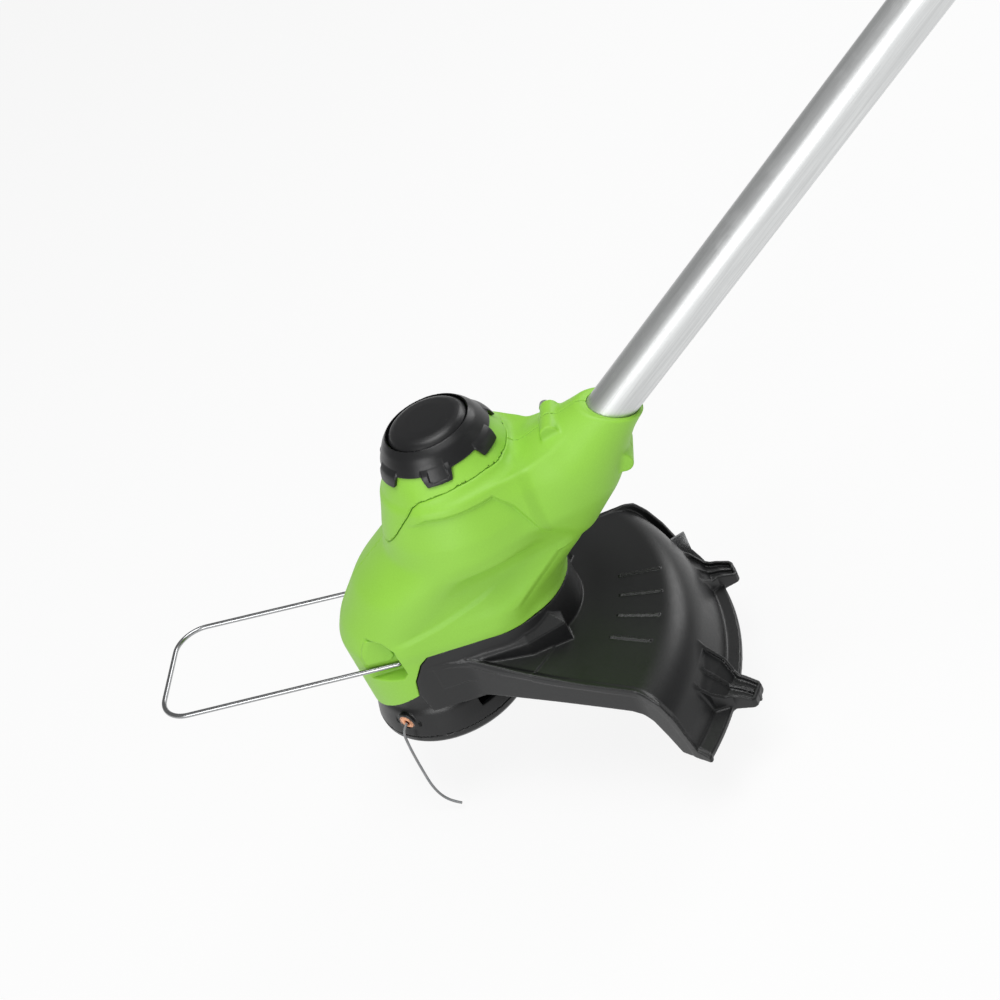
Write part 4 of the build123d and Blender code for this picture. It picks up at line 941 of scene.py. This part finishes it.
    def build(self) -> None:
        """Skins and fits the pieces."""
        block = Block((-50, -52, 15), (178, 1.5, 170), 0.9)
        for side, field in (("left", self.half), ("right", self.screwed_half)):
            fit(moulded(f"green_shell_{side}", field, block, side == "right"), Slot.GREEN, "head",
                f"head_shell_{side}")
        fit(moulded("dome_cover", self.cover, Block((-2, -52, 122), (108, 52, 172), 0.9)), Slot.GREEN, "head",
            "motor_cover")
        fit(moulded("dome_cap_ring", self.cap, Block((20, -38, 162), (96, 38, 184), 0.55)), Slot.BLACK, "head",
            "cap_ring")
        fit(moulded("dome_cap_disc", self.disc, Block((33, -25, 168), (83, 25, 187), 0.6)), Slot.BLACK, "head",
            "cap_disc")


# ---------------------------------------------------------------- guard
@dataclass
class DebrisGuard:
    """The black guard: domed roof, upright side flanges, rim with teeth, and the collar under the housing."""

    wall: float = 2.6
    rim_z: float = -14.0
    teeth: tuple = ((-20.4, 192.6), (13.1, 179.0))
    ribs: tuple = (5.5, -2.8, -11.0, -19.4)
    step_radius: float = 88.0
    lean: float = 18.0

    def __post_init__(self) -> None:
        """Smooths the guard's outlines: a path, its top and its underside for the near and the far flange."""
        self.roof = smooth_curve(((0, 55.5), (14, 55.5), (46, 54.2), (68, 44), (100, 36), (132, 30.8), (150, 28.2),
                                  (200, 22)), 3.0, 0, 210)
        self.outer = smooth_curve(((-30, 175.5), (-14, 173.2), (0, 169.6), (13, 164.6), (24, 159.5), (45, 150)), 2.0,
                                  -30, 70)
        start = ((8, 42.6), (26, 44.2), (34, 46.8))
        self.flanges = {
            -1: (round_path((*start, (116, 79.6), (122.4, 82.6), (127.6, 86.8), (151, 106)), 2),
                 ((22, 53.6), (30, 52.0), (61.3, 41.2), (93.5, 33.0), (120, 29.4), (127, 27.2), (132.9, 24.0),
                  (137.6, 15.6), (143.6, -7.6), (150, -10.5)),
                 ((22, 23.5), (36, 22.6), (73.5, 18.3), (96, 15.3), (114, 12.8), (120, 10.4), (124.3, 6.4),
                  (128.9, -2.8), (134.5, -16))),
            1: (round_path((*start, (116, 79.6), (123, 82.4), (131, 83.0), (150, 78.4)), 2),
                ((22, 53.6), (30, 52.0), (61.3, 41.2), (93.5, 33.0), (118, 29.2), (124, 26.5), (130, 18), (136, 6),
                 (140, -6), (145, -12)),
                ((22, 23.5), (36, 22.6), (73.5, 18.3), (96, 15.3), (114, 12.8), (120, 10.4), (126, 2), (132, -16)))}

    def reach(self, x: Array, y: Array) -> Array:
        """Distance out over the guard, whose rim sits off the spool's axis towards the near side."""
        share = ramp(np.hypot(x, y), 105, 168)
        return np.hypot(x, y + self.lean * share) + 7.0 * share

    def dome(self, x: Array, y: Array, z: Array) -> Array:
        """The guard's outer form as a solid."""
        around = self.reach(x, y)
        top = (z - np.interp(around, *self.roof)) * 0.96
        edge = (around - np.interp(z, *self.outer)) * 0.93
        step = 0.55 * ramp(np.hypot(x, y), self.step_radius + 0.5, self.step_radius - 0.5)
        return meet(top - step, edge, 13.0)

    def flange(self, side: int, x: Array, y: Array, z: Array) -> Array:
        """The upright wall along one straight side, turning down to the rim's corner."""
        path, tops, lows = self.flanges[side]
        plan = meet(path_distance(path, x, np.abs(y)) - self.wall / 2, -side * y)
        wall = meet(meet(plan, (z - np.interp(x, *zip(*tops))) * 0.72, 1.0), (np.interp(x, *zip(*lows)) - z) * 0.72, 1.0)
        return meet(wall, self.rim_z - z, 0.6)

    def tooth(self, angle: float, tip: float, x: Array, y: Array, z: Array) -> Array:
        """One scooped tooth with a middle rib, standing out from the rim."""
        a = math.radians(angle)
        u = x * math.cos(a) + y * math.sin(a) + 192.6 - tip
        w = np.abs(y * math.cos(a) - x * math.sin(a))
        plan = outline(((160, -15.5), (172, -14.5), (180.5, -8.6), (191, -7.4), (192.6, -5.6), (192.6, 5.6),
                        (191, 7.4), (180.5, 8.6), (172, 14.5), (160, 15.5)), u, w)
        top = np.interp(u, (158, 170, 177, 184, 192.6), (16.5, 5.5, -2.5, -4.5, -8.5))
        solid = meet(meet(plan, (z - top) * 0.85, 0.8), self.rim_z - z, 0.6)
        room = meet(plan + 2.1, top - 2.8 - z, 0.8)
        rib = meet(meet(w - 1.1, (z - top + 0.9) * 0.85, 0.6), plan)
        return union(cut(solid, room, 0.5), rib, 0.8)

    def form(self, x: Array, y: Array, z: Array) -> Array:
        """The whole guard."""
        around = np.hypot(x, y)
        far = np.abs(y)
        dome = self.dome(x, y, z)
        wedge = ((5, 0), (5, -46), (30, -47), (122.4, -83), (127.6, -87), (150, -106), (215, -106), (215, 62),
                 (150, 78.6), (131, 83.4), (123, 83), (30, 47), (5, 46))
        plan = meet(outline(wedge, x, y), self.rim_z - z)
        roof = meet(cut(dome, dome + self.wall, 0.5), plan, 0.6)
        rim_band = outline(((169, -14), (179.6, -14), (180, -13.4), (180, -11.0), (179.2, -10.2), (170, -8.2)), self.reach(x, y), z)
        roof = union(roof, meet(rim_band, plan, 0.5), 1.2)
        for side in self.flanges:
            roof = union(roof, self.flange(side, x, y, z), 1.6)
        roof = meet(roof, self.reach(x, y) - 181.0, 0.8)
        for angle, tip in self.teeth:
            roof = union(roof, self.tooth(angle, tip, x, y, z), 1.6)
        for angle in self.ribs:
            a = math.radians(angle)
            u, w = x * math.cos(a) + y * math.sin(a), y * math.cos(a) - x * math.sin(a)
            bar = meet(meet(np.abs(w) - 0.95, np.abs(u - 128.0) - 12.0, 0.4), np.abs(dome) - 1.0, 0.4)
            roof = union(roof, bar, 0.5)
        hull = two_circles(x, y, np.float64(0), np.float64(46.8), np.float64(50), np.float64(44.5))
        wrap = np.abs(hull + 1.25) - 1.25
        face = outline(((-2.9, 21.4), (-5.4, 35.6), (-2.9, 46), (4.4, 56.6), (10.3, 61.2), (110, 61.2), (110, 30),
                        (60, 44), (46, 40), (44, 21.4)), x, z)
        collar = meet(wrap, face, 0.35)
        block = outline(((10, 46.3), (40, 47.2), (66.5, 45.2), (88.6, 36), (82.5, 14), (60, 8), (10, 8)), x, far)
        brow = meet(meet(block, (z - 50.2 - np.maximum(0, -block) * 1.1) * 0.67, 0.4), z - 61.2, 0.4)
        brow = meet(brow, 36.0 - z)
        roof = union(union(roof, brow, 0.9), collar, 0.8)
        belly = meet(two_circles(x, y, np.float64(0), np.float64(44.2), np.float64(50), np.float64(41.9)), z - 70.0)
        roof = cut(roof, meet(belly, 56.0 - z), 0.3)
        roof = cut(roof, meet(belly, z - 52.4), 0.3)
        return cut(roof, around - 15.0, 0.5)

    def build(self) -> None:
        """Skins and fits the guard."""
        fit(moulded("debris_guard", self.form, Block((-8, -109, -16), (196, 87, 64), 0.85)), Slot.GUARD, "head",
            "guard")


# ---------------------------------------------------------------- drum
@dataclass
class SpoolDrum:
    """The turning drum: bell-shaped housing, rim, eyelet and feed knob."""

    eyelet_angle: float = -120.0
    eyelet_z: float = 13.0
    window_angle: float = -52.0

    def around_eyelet(self, x: Array, y: Array) -> tuple[Array, Array]:
        """Distance out from the spool's axis towards the eyelet, and sideways."""
        a = math.radians(self.eyelet_angle)
        return x * math.cos(a) + y * math.sin(a), y * math.cos(a) - x * math.sin(a)

    def housing(self, x: Array, y: Array, z: Array) -> Array:
        """The drum's upper part."""
        around = np.hypot(x, y)
        places, values = smooth_curve(((-5, 49.5), (3.4, 49.4), (9, 47.8), (14, 46.2), (18, 45.0), (21, 43.0),
                                       (25, 42.3), (45, 42.3)), 0.9, -5, 50)
        outer = meet(around - np.interp(z, places, values), z - 41.0, 2.0)
        form = cut(outer, meet(outer + 2.6, z - 38.0), 0.4)
        out, aside = self.around_eyelet(x, y)
        boss = meet(np.hypot(aside, z - self.eyelet_z) - 6.4, np.abs(out - 44.5) - 2.9, 0.7)
        form = union(form, boss, 0.8)
        niche = np.abs(np.hypot(aside, np.maximum(z - self.eyelet_z - 1.5, 0)) - 8.2) - 1.0
        niche = meet(meet(niche, self.eyelet_z - 2.0 - z, 0.4), 45.2 - out, 0.4)
        form = cut(form, niche, 0.5)
        form = cut(form, meet(np.hypot(aside, z - self.eyelet_z) - 3.9, -out), 0.3)
        for extra in (0.0, 180.0):
            a = math.radians(self.window_angle + extra)
            u, w = x * math.cos(a) + y * math.sin(a), y * math.cos(a) - x * math.sin(a)
            window = meet(outline(((-7, 11), (7, 11), (7, 16.2), (4, 18.2), (-4, 18.2), (-7, 16.2)), w, z), 30.0 - u)
            form = cut(form, window, 0.5)
        form = meet(form, 3.5 - z, 0.2)
        return cut(form, around - 4.4, 0.3)

    def rim(self, x: Array, y: Array, z: Array) -> Array:
        """The drum's lower cap with its worn bumping face."""
        around = np.hypot(x, y)
        places, values = smooth_curve(((-6, 45.6), (-2.6, 47.2), (0, 49.3), (3.4, 49.45), (8, 49.4)), 0.5, -6, 8)
        form = meet(meet(around - np.interp(z, places, values), z - 3.42, 0.2), -2.6 - z, 0.8)
        form = cut(form, meet(around - 40.0, 0.6 - z), 0.4)
        turn = np.degrees(np.arctan2(y, x)) % 30 - 15
        spoke = meet(np.abs(turn) * math.pi / 180 * around - 2.2, np.abs(around - 32) - 10.0, 0.6)
        form = cut(form, meet(spoke, z + 1.6), 0.4)
        return cut(form, around - 18.2, 0.5)

    def knob(self, x: Array, y: Array, z: Array) -> Array:
        """The feed knob under the drum."""
        around = np.hypot(x, y)
        places, values = smooth_curve(((-14, 13), (-12, 14.4), (-9.5, 16.9), (-3, 17.3), (-1.4, 15.2), (2, 11.2),
                                       (25, 11.2)), 0.6, -16, 26)
        form = meet(meet(around - np.interp(z, places, values), -12.0 - z, 1.2), z - 20.0, 0.5)
        turn = np.degrees(np.arctan2(y, x)) % 45 - 22.5
        flute = np.hypot(around * np.cos(np.radians(turn)) - 19.0, around * np.sin(np.radians(turn))) - 3.1
        return cut(cut(form, meet(flute, z + 2.5), 0.9), meet(around - 8.6, -4.0 - z), 0.4)

    def eyelet(self) -> bpy.types.Object:
        """The pressed copper eyelet in the drum's wall."""
        a = math.radians(self.eyelet_angle)
        origin = head_spot(0, 0, self.eyelet_z)
        profile = [(1.6, 43.0), (1.6, 46.4), *arc(1.15, (2.75, 46.6), 180, 60, 8), (4.3, 47.35),
                   *arc(0.45, (4.75, 47.0), 80, -60, 5), (3.85, 46.3), (3.8, 43.0)]
        return lathe("line_eyelet", profile, origin, Vector((math.cos(a), math.sin(a), 0)), 48)

    def build(self) -> None:
        """Skins and fits the drum's pieces."""
        fit(moulded("drum_bell", self.housing, Block((-53, -53, 2), (53, 53, 43), 0.75)), Slot.BLACK, "drum",
            "spool_housing")
        fit(moulded("drum_rim", self.rim, Block((-51, -51, -4), (51, 51, 5), 0.75)), Slot.BLACK, "drum", "spool_cap")
        fit(moulded("bump_knob", self.knob, Block((-20, -20, -13.5), (20, 20, 22), 0.7)), Slot.BLACK, "knob",
            "feed_knob")
        fit(self.eyelet(), Slot.COPPER, "drum", "eyelet")


@dataclass
class CuttingLine:
    """The free end of the cutting line. Points are out from the spool's axis, sideways, and up from the rim."""

    radius: float = 0.825
    length: float = 0.0739
    angle: float = -120.0
    route: tuple = ((47.8, 0.0, 13.0), (51.2, 0.2, 12.2), (53.6, 0.3, 9.6), (54.4, 0.2, 4.0), (54.9, -0.2, -8.0),
                    (54.6, -1.0, -22.0), (55.0, -0.4, -34.0), (54.3, 1.6, -43.5), (52.8, 6.4, -49.6),
                    (51.6, 12.2, -51.0))

    def spot(self, out: float, aside: float, z: float) -> Vector:
        """A point of the route in the frame."""
        a = math.radians(self.angle)
        return head_spot(out * math.cos(a) - aside * math.sin(a), out * math.sin(a) + aside * math.cos(a), z)

    def build(self) -> None:
        curve = bpy.data.curves.new("cut_line", "CURVE")
        curve.dimensions = "3D"
        curve.bevel_depth = self.radius * MM
        curve.bevel_resolution = 5
        curve.resolution_u = 16
        curve.use_fill_caps = True
        spline = curve.splines.new("NURBS")
        spline.points.add(len(self.route) - 1)
        for point, place in zip(spline.points, self.route):
            point.co = (*self.spot(*place), 1.0)
        spline.order_u = 3
        spline.use_endpoint_u = True
        piece = bpy.data.objects.new("cut_line", curve)
        bpy.context.scene.collection.objects.link(piece)
        fit(piece, Slot.LINE, "drum", "cutting_line")


# ---------------------------------------------------------------- wire guard and tubes
@dataclass
class WireGuard:
    """The bright wire that swings out in front of the head."""

    radius: float = 1.5
    pivot: tuple[float, float] = (-9.3, 54.1)
    arm_y: float = 36.9
    end: tuple[float, float, float] = (-160.9, 38.6, 62.0)
    bend: float = 18.0

    def build(self) -> None:
        """Bends and fits the wire."""
        px, pz = self.pivot
        ex, ey, ez = self.end
        corners = [head_spot(px, -31, pz), head_spot(px, -self.arm_y, pz), head_spot(ex, -ey, ez),
                   head_spot(ex, ey, ez), head_spot(px, self.arm_y, pz), head_spot(px, 31, pz)]
        path = bent_path(corners, [2.4 * MM, self.bend * MM, self.bend * MM, 2.4 * MM], 14)
        fit(swept_rod("wire_loop", path, self.radius * MM, 24), Slot.WIRE, "wire_guard", "wire_guard")


@dataclass
class ShaftTubes:
    """The bare lower tube and the painted upper one that slides over it."""

    lower: tuple[float, float, float, float] = (-52.0, 760.0, 12.7, 11.3)
    upper: tuple[float, float, float, float] = (490.0, 1010.0, 15.2, 13.1)

    @staticmethod
    def tube(name: str, sizes: tuple[float, float, float, float]) -> bpy.types.Object:
        """A tube with rounded ends, from where it starts and ends along the shaft and its two radii."""
        start, end, outer, bore = sizes
        lip = 0.5
        profile = [(bore, start + lip), (bore + lip, start), (outer - lip, start), (outer - lip * 0.3, start + lip * 0.3),
                   (outer, start + lip)]
        profile += [(outer, s) for s in np.linspace(start + 20, end - 20, 9)]
        profile += [(outer, end - lip), (outer - lip * 0.3, end - lip * 0.3), (outer - lip, end), (bore + lip, end),
                    (bore, end - lip)]
        return lathe(name, profile, Vector((0, 0, 0)), ALONG, 112)

    def build(self) -> None:
        """Turns and fits the tubes."""
        fit(self.tube("bare_tube", self.lower), Slot.TUBE, "head", "lower_tube")
        fit(self.tube("painted_tube", self.upper), Slot.UPPER_TUBE, "upper_shaft", "upper_tube")


# ---------------------------------------------------------------- studio
@dataclass
class Studio:
    """Pale floor, soft lights and the camera."""

    camera_at: tuple[float, float, float] = (0.19016, -0.84731, 0.57897)
    right: tuple[float, float, float] = (0.92798, 0.02579, -0.37173)
    up: tuple[float, float, float] = (0.27579, 0.62333, 0.73171)
    back: tuple[float, float, float] = (0.25058, -0.78153, 0.57133)
    lens: float = 70.3
    floor_z: float = -0.2145

    def floor(self) -> None:
        """A large pale floor that glows a little, as a lit studio table does."""
        half = 9.0
        floor = make_object("studio_floor", np.array([(-half, -half, self.floor_z), (half, -half, self.floor_z),
                                                      (half, half, self.floor_z), (-half, half, self.floor_z)]),
                            [(0, 1, 2, 3)])
        material = bpy.data.materials.new("studio_floor_finish")
        material.use_nodes = True
        bench = NodeBench(material.node_tree)
        paper = bench.add("BsdfDiffuse", {"Color": (0.9, 0.9, 0.9, 1.0)})
        glow = bench.add("Emission", {"Color": (1.0, 1.0, 1.0, 1.0), "Strength": 0.98})
        both = bench.add("MixShader", {0: 0.9})
        output = bench.add("OutputMaterial")
        bench.tree.links.new(paper.outputs[0], both.inputs[1])
        bench.tree.links.new(glow.outputs[0], both.inputs[2])
        bench.tree.links.new(both.outputs[0], output.inputs[0])
        floor.data.materials.append(material)

    def lamp(self, name: str, place: Sequence[float], aim: Sequence[float], size: float, power: float) -> None:
        """A square soft light aimed at a point."""
        light = bpy.data.lights.new(name, "AREA")
        light.shape = "SQUARE"
        light.size = size
        light.energy = power
        lamp = bpy.data.objects.new(name, light)
        lamp.location = place
        lamp.rotation_euler = (Vector(aim) - Vector(place)).to_track_quat("-Z", "Y").to_euler()
        bpy.context.scene.collection.objects.link(lamp)

    def build(self) -> None:
        """Sets up floor, lights, sky and camera."""
        self.floor()
        middle = (-0.05, 0.0, -0.05)
        self.lamp("overhead_light", (0.1, -0.3, 1.5), middle, 1.1, 20.0)
        self.lamp("front_light", (-0.7, -1.5, 0.5), middle, 0.8, 12.0)
        self.lamp("rear_light", (0.9, 1.3, 0.7), middle, 0.8, 9.0)
        world = bpy.data.worlds.new("studio_air")
        world.use_nodes = True
        world.node_tree.nodes["Background"].inputs[0].default_value = (1.0, 1.0, 1.0, 1.0)
        world.node_tree.nodes["Background"].inputs[1].default_value = 0.26
        bpy.context.scene.world = world
        bpy.context.scene.view_settings.view_transform = "Standard"
        data = bpy.data.cameras.new("studio_camera")
        data.lens = self.lens
        data.sensor_width = 36.0
        data.clip_end = 50.0
        camera = bpy.data.objects.new("studio_camera", data)
        columns = Matrix((self.right, self.up, self.back)).transposed()
        camera.matrix_world = Matrix.Translation(self.camera_at) @ columns.to_4x4()
        bpy.context.scene.collection.objects.link(camera)
        bpy.context.scene.camera = camera


def main() -> None:
    """Builds the trimmer and its studio."""
    logging.basicConfig(level=logging.INFO, format="%(name)s: %(message)s")
    Studio().build()
    CuttingLine().build()
    PAINT.coat_nodes()
    for assembly in (HeadHousing(), DebrisGuard(), SpoolDrum(), WireGuard(), ShaftTubes()):
        LOG.info("building %s", type(assembly).__name__)
        assembly.build()


if __name__ == "__main__":
    main()
